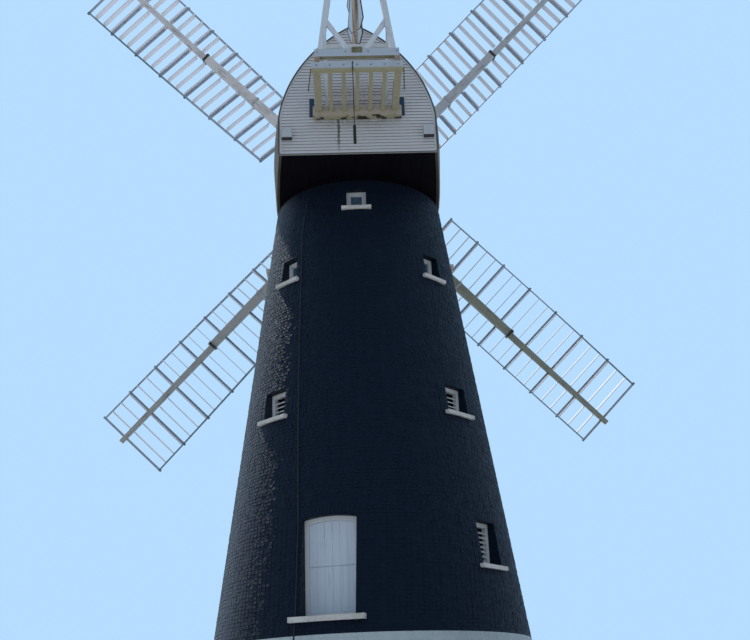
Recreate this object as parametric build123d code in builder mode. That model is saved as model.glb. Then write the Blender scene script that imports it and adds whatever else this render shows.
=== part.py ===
from build123d import *
import os
from math import sin, cos, tan, atan, radians, degrees

# Tapered brick tower mill with a boat-shaped cap, four shuttered sails and a fan stage.
# Millimetres. Origin at the centre of the tower's foot, +Z up. Sails towards -Y, fan towards +Y.
# Azimuths are degrees from +Y towards +X.

# Tower
base_radius = 3756
top_radius = 1998
tower_height = 13000
base_wall = 560
top_wall = 340
wall_sides = 64
ground_storey_height = 2810
ground_slab = 150
wall_bays = 8
first_bay_azimuth = -14.5
first_floor = 3050
second_floor = 6000
third_floor_drop = 4100
top_floor_drop = 1600
floor_boards = 45
floor_beam_width = 220
floor_beam_height = 240
floor_beam_spacing = 1500
floor_sides = 40
fit_gap = 0.4

# Doors and windows
reveal = 170
frame_depth = 90
frame_width = 85
sill_height = 80
sill_overhang = 115
sill_reach = 70
low_window_sill = 1080
low_window_width = 660
low_window_height = 890
middle_window_sill = 1360
middle_window_width = 640
middle_window_height = 610
high_window_sill = 1750
high_window_width = 470
high_window_height = 550
top_window_sill = 870
top_window_width = 450
top_window_height = 480
side_hatch_sill = 160
side_hatch_width = 430
side_hatch_height = 420
glass_thickness = 6
louvre_pitch = 95
louvre_thickness = 16
louvre_depth = 80
louvre_slope = 35
door_azimuth = 15.5
door_width = 1100
door_step = 100
door_sill_height = 100
door_sill_overhang = 200
loading_door_height = 1930
loading_door_rise = 60
leaf_thickness = 45
leaf_gap = 6
entrance_height = 2080
entrance_rise = 90

# Curb and cap frame
curb_height = 175
curb_outer_radius = 1925
curb_width = 270
curb_clearance = 25
running_gap = 0.5
cap_floor_rise = 138
beam_height = 310
beam_width = 280
beam_places = [-1250, 1250, 2780]
sheer_offset = 1590
sheer_width = 230
sheer_height = 260
sheer_end = 3160

# Cap shell
cap_rear = 3000
cap_front = -2200
gable_wall = 60
cap_skin = 60
cap_mid_half_width = 1995
cap_rear_half_width = 1770
cap_front_half_width = 1790
cap_flare = 60
roof_flats = 10
eaves_rise = 1100
rear_ridge_rise = 1095
mid_ridge_rise = 1695
front_ridge_rise = 1395
bargeboard_width = 60
bargeboard_thickness = 30
soffit_gap = 12

# Windshaft
hub_forward = 3408
hub_rise = 2455
shaft_tilt = 13.1
shaft_radius = 210
neck_radius = 250
neck_bearing_back = 1480
tail_bearing_back = 4300
shaft_length = 4600
bearing_half_length = 130
bearing_gap = 0.3
bearing_beam_height = 240
bearing_post = 180
bearing_block_rim = 120
canister_size = 560
canister_front = 150
canister_back = 640

# Sails
sail_angle = 44.5
stock_spacing = 308
stock_root_width = 300
stock_root_depth = 300
stock_end_width = 210
stock_end_depth = 170
stock_reach = 5960
whip_root_width = 240
whip_root_depth = 200
whip_tip_width = 125
whip_tip_depth = 100
whip_start = 420
whip_reach = 9560
sail_tip = 9390
bay_length = 980
bay_count = 7
wide_side = 1332
narrow_side = 800
sail_bar_width = 60
sail_bar_depth = 42
sail_bar_overhang = 40
hemlath_width = 32
hemlath_depth = 75
heel_weather = 24.4
tip_weather = 0
shutters_per_bay = 3
shutter_depth = 250
shutter_thickness = 20
shutter_whip_gap = 12
shutter_end_gap = 1.2
shutter_bar_gap = 12
clamp_length = 70
clamp_wall = 14
end_clamp_inset = 98
clamp_bays = [5.6, 6.6]
root_clamp = 1300

# Striking gear
spider_reach = 550
spider_forward = 330
spider_boss = 110
striking_rod_radius = 45
crank_arm = 300
crank_drop = 205
crank_thickness = 22
crank_boss = 32
rod_width = 36
rod_thickness = 30
rod_stand_off = 40
pin_gap = 1

# Fan stage
stage_depth = 4860
stage_half_width = 970
stage_rise = 1250
joist_height = 150
joist_width = 85
joist_spacing = 290
end_joist_width = 150
end_joist_place = 860
wall_beam_half_width = 1000
wall_beam_height = 260
wall_beam_depth = 150
end_beam_height = 210
end_beam_depth = 110
stage_post_height = 140
stage_post_size = 110
top_beam_half_width = 900
top_beam_height = 190
top_beam_depth = 120
leg_foot_offset = 765
leg_head_offset = 530
leg_width = 130
leg_depth = 110
leg_head = 130
fan_rise = 1870
brace_foot = 190
brace_width = 110
brace_depth = 55
brace_rise = 720
strut_rise = 720
strut_width = 60
strut_cut = 100
saddle_half_width = 110
saddle_wall = 25
saddle_height = 130
backboard_half_width = 1080
backboard_height = 480
backboard_drop = 180
backboard_thickness = 30
tie_radius = 11
tie_foot_drop = 140
tie_head_rise = 540
tie_head_offset = 130

# Fan
fan_radius = 1400
fan_vanes = 8
vane_root = 430
vane_root_width = 280
vane_wide_place = 1150
vane_wide_width = 460
vane_tip_width = 260
vane_pitch = 45
vane_thickness = 18
vane_spar = 105
vane_spar_tip = 60
fan_hub_radius = 150
fan_hub_length = 190
spindle_radius = 32

# Brake rope
rope_radius = 9
rope_side = 100
rope_length = 1570
toggle_length = 420
toggle_radius = 32

third_floor = tower_height - third_floor_drop
top_floor = tower_height - top_floor_drop
floor_levels = [first_floor, second_floor, third_floor, top_floor]
cap_floor_height = tower_height + cap_floor_rise
eaves_height = tower_height + eaves_rise
hub_height = tower_height + hub_rise
cap_rear_ridge = hub_height + rear_ridge_rise
cap_mid_ridge = hub_height + mid_ridge_rise
cap_front_ridge = hub_height + front_ridge_rise
stage_top = tower_height + stage_rise
top_beam_bottom = stage_top + stage_post_height
leg_bottom = top_beam_bottom + top_beam_height
fan_height = leg_bottom + fan_rise
tilt = radians(shaft_tilt)
shaft_forward = Vector(0, -cos(tilt), sin(tilt))
shaft_up = Vector(0, sin(tilt), cos(tilt))
hub = Vector(0, -hub_forward, hub_height)
wall_taper = (base_radius - top_radius) / tower_height
inner_wall_taper = (base_radius - base_wall - top_radius + top_wall) / tower_height
beam_bottom = tower_height + curb_height + running_gap
sheer_bottom = beam_bottom + beam_height
sheer_top = sheer_bottom + sheer_height


def outer_radius(z):
    return base_radius - wall_taper * z


def inner_radius(z):
    return base_radius - base_wall - inner_wall_taper * z


def outward(azimuth):
    return Vector(sin(radians(azimuth)), cos(radians(azimuth)), 0)


def face_plane(azimuth, z, distance):
    # A vertical plane that faces outwards, its local Y up
    out = outward(azimuth)
    origin = out * distance + Vector(0, 0, z)
    return Plane(origin=origin, x_dir=(-out.Y, out.X, 0), z_dir=out)


def opening_shape(place, margin=0):
    # A doorway or window that stands on the X axis, with a flat or an arched head
    side = place.width / 2 - margin
    spring = place.height - place.rise - margin
    with BuildSketch(Plane.XY) as outline:
        with BuildLine():
            Polyline((-side, spring), (-side, margin), (side, margin), (side, spring))
            if place.rise > 0:
                ThreePointArc((side, spring), (0, place.height - margin), (-side, spring))
            else:
                Line((side, spring), (-side, spring))
        make_face()
    return outline.sketch


def save(name, part):
    part.label = name
    export_step(part, f"parts/{name}.step")


class Opening:
    # One door or window place in the tower's wall
    def __init__(self, azimuth, sill, width, height, rise=0):
        self.azimuth = azimuth
        self.sill = sill
        self.width = width
        self.height = height
        self.rise = rise
        self.face = outer_radius(sill + height) - reveal
        self.ledge_height = sill_height
        self.ledge_overhang = sill_overhang

    def plane(self, distance):
        return face_plane(self.azimuth, self.sill, distance)

    def room_side(self):
        return inner_radius(self.sill) * 0.9


def windows(azimuths, sill, width, height):
    return [Opening(azimuth, sill, width, height) for azimuth in azimuths]


louvred_low = windows([-50, 130], first_floor + low_window_sill, low_window_width, low_window_height)
louvred_mid = windows(
    [46, -46, 134, -134], second_floor + middle_window_sill, middle_window_width, middle_window_height
)
casements_high = windows(
    [46, -45, 134, -135], third_floor + high_window_sill, high_window_width, high_window_height
)
casements_top = windows([2, 182], top_floor + top_window_sill, top_window_width, top_window_height)
hatches_side = windows([90, -90], top_floor + side_hatch_sill, side_hatch_width, side_hatch_height)
loading_door = Opening(
    door_azimuth, first_floor + door_step, door_width, loading_door_height, loading_door_rise
)
loading_door.ledge_height = door_sill_height
loading_door.ledge_overhang = door_sill_overhang
entrance = Opening(door_azimuth, ground_slab, door_width, entrance_height, entrance_rise)
louvred = louvred_low + louvred_mid + hatches_side
casements = casements_high + casements_top
upper_openings = louvred + casements + [loading_door]


def sill_outline(place):
    with Locations((0, -place.ledge_height / 2)):
        Rectangle(place.width + 2 * place.ledge_overhang, place.ledge_height)


def tapered_ring(low, high):
    # The whole round of the wall between two heights
    outer_taper = degrees(atan(wall_taper))
    inner_taper = degrees(atan(inner_wall_taper))
    turn = 90 - first_bay_azimuth
    with BuildPart() as ring:
        with BuildSketch(Plane.XY.offset(low)):
            RegularPolygon(outer_radius(low), wall_sides, major_radius=False, rotation=turn)
        extrude(amount=high - low, taper=outer_taper)
        with BuildSketch(Plane.XY.offset(low)):
            RegularPolygon(inner_radius(low), wall_sides, major_radius=False, rotation=turn)
        extrude(amount=high - low, taper=inner_taper, mode=Mode.SUBTRACT)
    return ring.part


def bay_sector(azimuth):
    # A wedge from the tower's axis that takes in one bay
    span = 360 / wall_bays
    reach = 2 * base_radius
    corners = [outward(azimuth) * reach, outward(azimuth + span) * reach]
    with BuildSketch(Plane.XY) as sector:
        with BuildLine():
            Polyline((0, 0), (corners[0].X, corners[0].Y), (corners[1].X, corners[1].Y), close=True)
        make_face()
    return sector.sketch


def cut_opening(place):
    with BuildPart() as gap:
        with BuildSketch(place.plane(place.room_side())):
            add(opening_shape(place))
        extrude(amount=base_radius)
        if place is not entrance:
            with BuildSketch(place.plane(place.face - frame_depth)):
                sill_outline(place)
            extrude(amount=base_radius)
    return gap.part


def wall_bays_from(first_bay, low, high, openings):
    # Every second bay, so that the solids of one node stand apart
    span = 360 / wall_bays
    with BuildPart() as bays:
        add(tapered_ring(low, high))
        with BuildSketch(Plane.XY.offset(low)):
            for step in range(first_bay, wall_bays, 2):
                add(bay_sector(first_bay_azimuth + step * span))
        extrude(amount=high - low, mode=Mode.INTERSECT)
        for place in openings:
            add(cut_opening(place), mode=Mode.SUBTRACT)
    return bays.part


def ground_floor():
    with BuildPart() as slab:
        with BuildSketch(Plane.XY):
            RegularPolygon(inner_radius(ground_slab) - fit_gap, floor_sides)
        extrude(amount=ground_slab)
    return slab.part


def upper_floor(level):
    # A boarded floor on beams, its top at the given level
    reach = inner_radius(level) - fit_gap
    with BuildPart() as floor:
        with BuildSketch(Plane.XY.offset(level - floor_boards)):
            RegularPolygon(reach, floor_sides)
        extrude(amount=floor_boards)
        with BuildSketch(Plane.XY.offset(level - floor_boards - floor_beam_height)):
            RegularPolygon(reach, floor_sides)
            with GridLocations(0, floor_beam_spacing, 1, 2):
                Rectangle(2 * reach, floor_beam_width, mode=Mode.INTERSECT)
        extrude(amount=floor_beam_height)
    return floor.part


def all_upper_floors():
    return Compound(children=[upper_floor(level) for level in floor_levels])


def opening_frame(place):
    # A frame that lines the opening, set back from the wall's face
    with BuildPart() as frame:
        with BuildSketch(place.plane(place.face - frame_depth)):
            add(opening_shape(place))
            add(opening_shape(place, frame_width), mode=Mode.SUBTRACT)
        extrude(amount=frame_depth)
    return frame.part


def louvred_window(place):
    # A frame with sloping boards between its jambs
    count = int((place.height - 2 * frame_width) / louvre_pitch)
    middle = place.plane(place.face - frame_depth / 2)
    span = place.width - 2 * frame_width
    with BuildPart() as window:
        add(opening_frame(place))
        for row in range(count):
            height = frame_width + louvre_pitch * (row + 0.5)
            upper = middle.y_dir * cos(radians(louvre_slope)) + middle.z_dir * sin(radians(louvre_slope))
            board = Plane(middle.from_local_coords((0, height, 0)), x_dir=middle.x_dir, z_dir=upper)
            with BuildSketch(board):
                Rectangle(span + 2, louvre_depth)
            extrude(amount=louvre_thickness / 2, both=True)
    return window.part


def louvred_windows():
    return Compound(children=[louvred_window(place) for place in louvred])


def casement_frames():
    return Compound(children=[opening_frame(place) for place in casements])


def casement_glass():
    panes = []
    for place in casements:
        with BuildPart() as pane:
            with BuildSketch(place.plane(place.face - frame_depth / 2)):
                add(opening_shape(place, frame_width))
            extrude(amount=glass_thickness / 2, both=True)
        panes.append(pane.part)
    return Compound(children=panes)


def sills():
    blocks = []
    for place in upper_openings:
        if place is loading_door:
            continue
        blocks.append(sill_block(place))
    return Compound(children=blocks)


def sill_block(place):
    reach = outer_radius(place.sill) + sill_reach - place.face + frame_depth
    with BuildPart() as block:
        with BuildSketch(place.plane(place.face - frame_depth)):
            sill_outline(place)
        extrude(amount=reach)
    return block.part


def leaf(place, low, high, head):
    # A boarded leaf inside the frame, from low to high above the sill
    side = place.width / 2 - frame_width - fit_gap
    with BuildPart() as board:
        with BuildSketch(place.plane(place.face - frame_depth + fit_gap)):
            with BuildLine():
                if head:
                    Polyline((-side, high), (-side, low), (side, low), (side, high))
                    ThreePointArc((side, high), (0, high + place.rise), (-side, high))
                else:
                    Polyline((-side, high), (-side, low), (side, low), (side, high), close=True)
            make_face()
        extrude(amount=leaf_thickness)
    return board.part


def loading_leaves():
    place = loading_door
    low = frame_width + fit_gap
    split = loading_door_height / 2
    top = place.height - place.rise - frame_width - fit_gap
    lower = leaf(place, low, split - leaf_gap / 2, False)
    upper = leaf(place, split + leaf_gap / 2, top, True)
    return Compound(children=[lower, upper])


def entrance_leaf():
    place = entrance
    low = frame_width + fit_gap
    top = place.height - place.rise - frame_width - fit_gap
    return leaf(place, low, top, True)


def curb():
    with BuildPart() as ring:
        with BuildSketch(Plane.XY.offset(tower_height)):
            RegularPolygon(curb_outer_radius, wall_sides)
            RegularPolygon(curb_outer_radius - curb_width, wall_sides, mode=Mode.SUBTRACT)
        extrude(amount=curb_height)
    return ring.part


def cap_half_width(y):
    # Half the cap's width at its foot, widest over the tower
    end, width = (cap_rear, cap_rear_half_width) if y > 0 else (cap_front, cap_front_half_width)
    return cap_mid_half_width - (cap_mid_half_width - width) * abs(y / end) ** 1.5


def cap_ridge(y):
    end, ridge = (cap_rear, cap_rear_ridge) if y > 0 else (cap_front, cap_front_ridge)
    return cap_mid_ridge - (cap_mid_ridge - ridge) * (y / end) ** 2


def cap_eaves_half_width(y):
    end = cap_rear if y > 0 else cap_front
    return cap_half_width(y) + cap_flare * (1 - (y / end) ** 2)


def cap_curve(y, inset):
    # Foot, eaves, a point on the flank and the ridge of half a section
    foot = cap_half_width(y) - inset
    eaves = cap_eaves_half_width(y) - inset
    ridge = cap_ridge(y) - 1.3 * inset
    flank = (0.787 * eaves, eaves_height + 0.449 * (ridge - eaves_height))
    return (foot, cap_floor_height), (eaves, eaves_height), flank, (0, ridge)


def roof_line(y, inset=0):
    # Half a section from foot to ridge, the bowed roof drawn as flats
    foot, eaves, flank, ridge = cap_curve(y, inset)
    bow = Edge.make_three_point_arc(eaves, flank, ridge)
    return [Vector(foot)] + [bow @ (k / roof_flats) for k in range(roof_flats + 1)]


def mirrored(points):
    return [Vector(-point.X, point.Y) for point in reversed(points)]


def cap_stations():
    # Places along the cap where its sections are drawn
    rear = cap_rear - gable_wall
    front = cap_front + gable_wall
    return [rear, rear * 0.66, rear * 0.33, 0, front * 0.4, front * 0.75, front]


def skin_section(y):
    # The cut through one half of the cap's skin, as points in space
    loop = roof_line(y) + roof_line(y, cap_skin)[::-1]
    return [Vector(point.X, y, point.Y) for point in loop]


def flat_face(*corners):
    return Face(Wire.make_polygon(corners, close=True))


def cap_side():
    # The left half of the roof and side, a skin of flats between the sections
    sections = [skin_section(y) for y in cap_stations()]
    faces = [flat_face(*sections[0]), flat_face(*sections[-1])]
    for near, far in zip(sections, sections[1:]):
        for k in range(len(near)):
            faces.append(flat_face(near[k - 1], near[k], far[k]))
            faces.append(flat_face(near[k - 1], far[k], far[k - 1]))
    with BuildPart() as side:
        add(Solid(Shell(faces)))
    return side.part


def gable_face(y):
    outer = roof_line(y)
    with BuildSketch(Plane.XY) as outline:
        with BuildLine():
            Polyline(outer + mirrored(outer[:-1]), close=True)
        make_face()
    return outline.sketch


def section_plane(y):
    return Plane(origin=(0, y, 0), x_dir=(1, 0, 0), z_dir=(0, -1, 0))


def rear_gable():
    with BuildPart() as wall:
        with BuildSketch(section_plane(cap_rear)):
            add(gable_face(cap_rear - gable_wall))
            with Locations((0, sheer_bottom + sheer_height / 2)):
                with GridLocations(2 * sheer_offset, 0, 2, 1):
                    Rectangle(sheer_width, sheer_height, mode=Mode.SUBTRACT)
        extrude(amount=gable_wall)
    return wall.part


def shaft_height_at(y):
    return hub_height - (hub_forward + y) * tan(tilt)


def front_gable():
    with BuildPart() as wall:
        with BuildSketch(section_plane(cap_front + gable_wall)):
            add(gable_face(cap_front + gable_wall))
            with Locations((0, shaft_height_at(cap_front))):
                Circle(neck_radius + 60, mode=Mode.SUBTRACT)
        extrude(amount=gable_wall)
    return wall.part


def bargeboards():
    outer = roof_line(cap_rear - gable_wall)
    inner = roof_line(cap_rear - gable_wall, bargeboard_width)
    outer_loop = outer + mirrored(outer[:-1])
    inner_loop = inner + mirrored(inner[:-1])
    with BuildPart() as trim:
        with BuildSketch(section_plane(cap_rear + bargeboard_thickness)):
            with BuildLine():
                Polyline(outer_loop + inner_loop[::-1], close=True)
            make_face()
        extrude(amount=bargeboard_thickness)
    return trim.part


def soffit():
    # Boards under the cap where it stands out past the tower
    stations = cap_stations()
    places = [stations[0] - soffit_gap] + stations[1:-1] + [stations[-1] + soffit_gap]
    edge = [(cap_half_width(y) - cap_skin - soffit_gap, y) for y in places]
    with BuildPart() as boards:
        with BuildSketch(Plane.XY.offset(cap_floor_height)):
            with BuildLine():
                Polyline(edge + [(-x, y) for x, y in reversed(edge)], close=True)
            make_face()
            RegularPolygon(curb_outer_radius + curb_clearance, wall_sides, mode=Mode.SUBTRACT)
        extrude(amount=beam_bottom - cap_floor_height)
    return boards.part


def cross_beams():
    beams = []
    for y in beam_places:
        cap_half = min(cap_half_width(y - beam_width / 2), cap_half_width(y + beam_width / 2))
        half = cap_half - cap_skin - soffit_gap
        with BuildPart() as beam:
            with BuildSketch(Plane.XY.offset(beam_bottom)):
                with Locations((0, y)):
                    Rectangle(2 * half, beam_width)
            extrude(amount=beam_height)
        beams.append(beam.part)
    return Compound(children=beams)


def sheers():
    front = cap_front + gable_wall
    beams = []
    for side in (-1, 1):
        with BuildPart() as sheer:
            with BuildSketch(Plane.XY.offset(sheer_bottom)):
                with Locations((side * sheer_offset, (sheer_end + front) / 2)):
                    Rectangle(sheer_width, sheer_end - front)
            extrude(amount=sheer_height)
        beams.append(sheer.part)
    return Compound(children=beams)


def bearing_frame(back, journal):
    # A timber across the sheers, two posts and a bored block that carries the shaft
    centre = hub - shaft_forward * back
    block_bottom = centre.Z - journal - bearing_block_rim
    block_width = 2 * (journal + bearing_block_rim)
    with BuildPart() as frame:
        with BuildSketch(Plane.XY.offset(sheer_top)):
            with Locations((0, centre.Y)):
                Rectangle(2 * sheer_offset + sheer_width, 2 * bearing_half_length)
        extrude(amount=bearing_beam_height)
        with BuildSketch(Plane.XY.offset(sheer_top + bearing_beam_height)):
            with Locations((0, centre.Y)):
                with GridLocations(block_width - bearing_post, 0, 2, 1):
                    Rectangle(bearing_post, 2 * bearing_half_length)
        extrude(amount=block_bottom - sheer_top - bearing_beam_height)
        with BuildSketch(Plane.XY.offset(block_bottom)):
            with Locations((0, centre.Y)):
                Rectangle(block_width, 2 * bearing_half_length)
        extrude(amount=centre.Z + journal + bearing_block_rim - block_bottom)
        with BuildSketch(Plane(origin=centre, x_dir=(1, 0, 0), z_dir=shaft_forward)):
            Circle(journal + bearing_gap)
        extrude(amount=4 * bearing_half_length, both=True, mode=Mode.SUBTRACT)
    return frame.part


def shaft_plane(forward):
    # Square to the windshaft, local Y up along the sails
    return Plane(origin=hub + shaft_forward * forward, x_dir=(1, 0, 0), z_dir=shaft_forward)


def windshaft():
    neck_end = neck_bearing_back + 2 * bearing_half_length
    with BuildPart() as shaft:
        with BuildSketch(shaft_plane(-canister_back)):
            Circle(neck_radius)
        extrude(amount=canister_back - neck_end)
        with BuildSketch(shaft_plane(-neck_end)):
            Circle(shaft_radius)
        extrude(amount=neck_end - shaft_length)
    return shaft.part


def sail_offset(arm):
    # Forward place of a whip's middle: the two stocks cross one behind the other
    return (arm % 2 - 0.5) * stock_spacing


def stock_offset(pair):
    return sail_offset(pair) - whip_root_depth / 2 - stock_root_depth / 2


def canister():
    with BuildPart() as box:
        with BuildSketch(shaft_plane(-canister_back)):
            RectangleRounded(canister_size, canister_size, 60, rotation=sail_angle)
        extrude(amount=canister_front + canister_back)
        for pair in (0, 1):
            with BuildSketch(shaft_plane(stock_offset(pair) - stock_root_depth / 2)):
                Rectangle(2 * canister_size, stock_root_width, rotation=sail_angle + 90 * pair)
            extrude(amount=stock_root_depth, mode=Mode.SUBTRACT)
    return box.part


def arm_frame(arm):
    # Plane with local X out along an arm, local Z forward along the shaft
    angle = radians(sail_angle + 90 * arm)
    along = Vector(1, 0, 0) * cos(angle) + shaft_up * sin(angle)
    return Plane(origin=hub + shaft_forward * sail_offset(arm), x_dir=along, z_dir=shaft_forward)


def across_arm(arm, r, forward=0):
    # Square to an arm at a radius, local Y forward along the shaft
    plane = arm_frame(arm)
    return Plane(plane.from_local_coords((r, 0, forward)), x_dir=plane.y_dir, z_dir=plane.x_dir)


def tapered(start, end, at):
    return start[1] + (end[1] - start[1]) * (at - start[0]) / (end[0] - start[0])


def stock_width(r):
    return tapered((canister_size / 2, stock_root_width), (stock_reach, stock_end_width), r)


def stock_depth(r):
    return tapered((canister_size / 2, stock_root_depth), (stock_reach, stock_end_depth), r)


def whip_width(r):
    return tapered((whip_start, whip_root_width), (whip_reach, whip_tip_width), r)


def whip_depth(r):
    return tapered((whip_start, whip_root_depth), (whip_reach, whip_tip_depth), r)


def tapered_beam(plane, start, end, width, depth, back):
    # Side profile crossed with plan profile; the back face lies flat at the given height
    with BuildPart() as beam:
        with BuildSketch(Plane(plane.origin, x_dir=plane.x_dir, z_dir=-plane.y_dir)):
            with BuildLine():
                Polyline(
                    (start, back),
                    (end, back),
                    (end, back + depth(end)),
                    (start, back + depth(start)),
                    close=True,
                )
            make_face()
        extrude(amount=width(start), both=True)
        with BuildSketch(plane.offset(back)):
            with BuildLine():
                Polyline(
                    (start, -width(start) / 2),
                    (end, -width(end) / 2),
                    (end, width(end) / 2),
                    (start, width(start) / 2),
                    close=True,
                )
            make_face()
        extrude(amount=2 * depth(start), mode=Mode.INTERSECT)
    return beam.part


def stock(pair):
    # Tapers both ways from the canister, its front face flat against the whips
    half_mortise = canister_size / 2
    front = -whip_root_depth / 2
    with BuildPart() as timber:
        for arm in (pair, pair + 2):
            plane = arm_frame(arm)
            flat = Plane(plane.origin, x_dir=plane.x_dir, z_dir=-plane.z_dir)
            add(tapered_beam(flat, half_mortise, stock_reach, stock_width, stock_depth, -front))
        with BuildSketch(shaft_plane(stock_offset(pair) - stock_root_depth / 2)):
            Rectangle(canister_size, stock_root_width, rotation=sail_angle + 90 * pair)
        extrude(amount=stock_root_depth)
    return timber.part


def weather(r):
    # Twist of the sail at a radius, in degrees
    heel = sail_tip - bay_count * bay_length
    return tapered((sail_tip, tip_weather), (heel, heel_weather), r)


def bar_plane(arm, r):
    # Local X along a sail bar to the wide side, local Z out along the whip
    plane = arm_frame(arm)
    turn = radians(weather(r))
    wide = -plane.y_dir * cos(turn) - plane.z_dir * sin(turn)
    origin = plane.from_local_coords((r, 0, (whip_depth(r) - whip_root_depth) / 2))
    return Plane(origin=origin, x_dir=wide, z_dir=plane.x_dir)


def hemlath_bay(arm, outer, inner, place):
    # One straight run of the edge lath between two bars
    middle = bar_plane(arm, (outer + inner) / 2)
    start = bar_plane(arm, inner).from_local_coords((place, 0, -sail_bar_width / 2))
    end = bar_plane(arm, outer).from_local_coords((place, 0, sail_bar_width / 2))
    with BuildPart() as lath:
        with BuildSketch(Plane(start, x_dir=middle.x_dir, z_dir=end - start)):
            Rectangle(hemlath_width, hemlath_depth)
        extrude(amount=(end - start).length)
    return lath.part


def sail_frame(arm):
    # Whip, bars and hemlaths of one sail, halved together
    plane = arm_frame(arm)
    radii = [sail_tip - bay_length * k for k in range(bay_count + 1)]
    with BuildPart() as frame:
        add(tapered_beam(plane, whip_start, whip_reach, whip_width, whip_depth, -whip_root_depth / 2))
        for r in radii:
            with BuildSketch(bar_plane(arm, r).offset(-sail_bar_width / 2)):
                with Locations(((wide_side - narrow_side) / 2, 0)):
                    Rectangle(wide_side + narrow_side + 2 * sail_bar_overhang, sail_bar_depth)
            extrude(amount=sail_bar_width)
        for place in (wide_side - hemlath_width / 2, -narrow_side + hemlath_width / 2):
            for outer, inner in zip(radii, radii[1:]):
                add(hemlath_bay(arm, outer, inner, place))
    return frame.part


def shutters(arm):
    # Boards set edge-on to the wind, hung between whip and hemlath
    boards = []
    pitch = bay_length / shutters_per_bay
    for bay in range(bay_count):
        for step in range(shutters_per_bay):
            bar = sail_tip - (bay + 1) * bay_length + sail_bar_width / 2
            r = bar + shutter_bar_gap + step * pitch
            turn = radians(weather(r))
            timber = max(whip_width(r), stock_width(r) if r < stock_reach else 0) / 2 + shutter_whip_gap
            lean = shutter_depth / 2 * sin(turn)
            for side, reach in ((1, wide_side), (-1, narrow_side)):
                start = (timber + max(side, 0) * lean) / cos(turn)
                end = reach - hemlath_width - shutter_end_gap
                with BuildPart() as board:
                    with BuildSketch(bar_plane(arm, r)):
                        with Locations((side * (start + end) / 2, 0)):
                            Rectangle(end - start, shutter_depth)
                    extrude(amount=shutter_thickness)
                boards.append(board.part)
    return Compound(children=boards)


def clamps():
    # Iron bands round stock and whip
    bands = []
    places = [sail_tip - bay_length * bays for bays in clamp_bays]
    for arm in range(4):
        for r in places + [stock_reach - end_clamp_inset]:
            bands.append(clamp(arm, r))
        bands.append(root_clamp_with_lugs(arm))
    return Compound(children=bands)


def clamp(arm, r):
    width = max(stock_width(r), whip_width(r)) + 2 * fit_gap
    front = whip_front(r) + fit_gap
    back = -whip_root_depth / 2 - stock_depth(r) - fit_gap
    with BuildPart() as band:
        with BuildSketch(across_arm(arm, r)):
            with Locations((0, (front + back) / 2)):
                Rectangle(width + 2 * clamp_wall, front - back + 2 * clamp_wall)
                Rectangle(width, front - back, mode=Mode.SUBTRACT)
        extrude(amount=clamp_length)
    return band.part


def whip_front(r):
    return -whip_root_depth / 2 + whip_depth(r)


def crank_pivot():
    # Radius and forward place of a bell crank's pin, from the arm's own plane
    return root_clamp + clamp_length / 2, rod_middle() + crank_drop


def rod_middle():
    return whip_root_depth / 2 + rod_stand_off + rod_thickness / 2


def side_plane(arm, across=0):
    # Lies along an arm and the shaft: local X out along the arm, local Y forward
    plane = arm_frame(arm)
    return Plane(plane.origin + plane.y_dir * across, x_dir=plane.x_dir, z_dir=-plane.y_dir)


def root_clamp_with_lugs(arm):
    # The innermost band, with two lugs that hold the bell crank
    r, forward = crank_pivot()
    front = whip_front(root_clamp) + fit_gap
    with BuildPart() as band:
        add(clamp(arm, root_clamp))
        for across in (-lug_offset(), lug_offset()):
            with BuildSketch(side_plane(arm, across)):
                with Locations((r, (front + forward + crank_boss) / 2)):
                    Rectangle(2 * crank_boss, forward + crank_boss - front)
            extrude(amount=clamp_wall / 2, both=True)
    return band.part


def lug_offset():
    return crank_thickness / 2 + fit_gap + clamp_wall / 2


def linkage_plate(*eyes):
    # Flat iron that joins the eyes for its pins, drawn with eight-sided eyes
    with BuildSketch(Plane.XY) as plate:
        with Locations(*eyes):
            RegularPolygon(crank_boss, 8, major_radius=False, rotation=22.5)
        make_hull()
    return plate.sketch


def bell_crank(arm):
    # Turns the spider's push along the shaft into a pull along the sail
    r, forward = crank_pivot()
    with BuildPart() as crank:
        with BuildSketch(side_plane(arm)):
            add(linkage_plate((r, forward), (r - crank_arm, forward), (r, forward - crank_drop)))
        extrude(amount=crank_thickness / 2, both=True)
    return crank.part


def spider_pin():
    # Forward place of the spider's arms, from the hub
    return canister_front + spider_forward


def spider_link(arm):
    # Flat bar from the spider's arm to the bell crank, lying beside both
    r, forward = crank_pivot()
    start = (spider_reach, spider_pin() - sail_offset(arm))
    with BuildPart() as link:
        with BuildSketch(side_plane(arm, crank_thickness / 2 + fit_gap)):
            add(linkage_plate(start, (r - crank_arm, forward)))
        extrude(amount=-crank_thickness / 2)
    return link.part


def spider():
    # Sliding cross on the striking rod at the nose of the shaft, its arms in line with the whips
    with BuildPart() as gear:
        with BuildSketch(shaft_plane(canister_front)):
            Circle(striking_rod_radius)
        extrude(amount=spider_forward + 90)
        with BuildSketch(shaft_plane(spider_pin())):
            RegularPolygon(spider_boss, 8, major_radius=False, rotation=sail_angle + 22.5)
            for arm in range(4):
                Rectangle(2 * spider_reach, crank_thickness, rotation=sail_angle + 90 * arm)
        extrude(amount=crank_boss, both=True)
    return gear.part


def striking_links():
    cranks = [bell_crank(arm) for arm in range(4)]
    links = [spider_link(arm) for arm in range(4)]
    return Compound(children=cranks + links)


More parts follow.
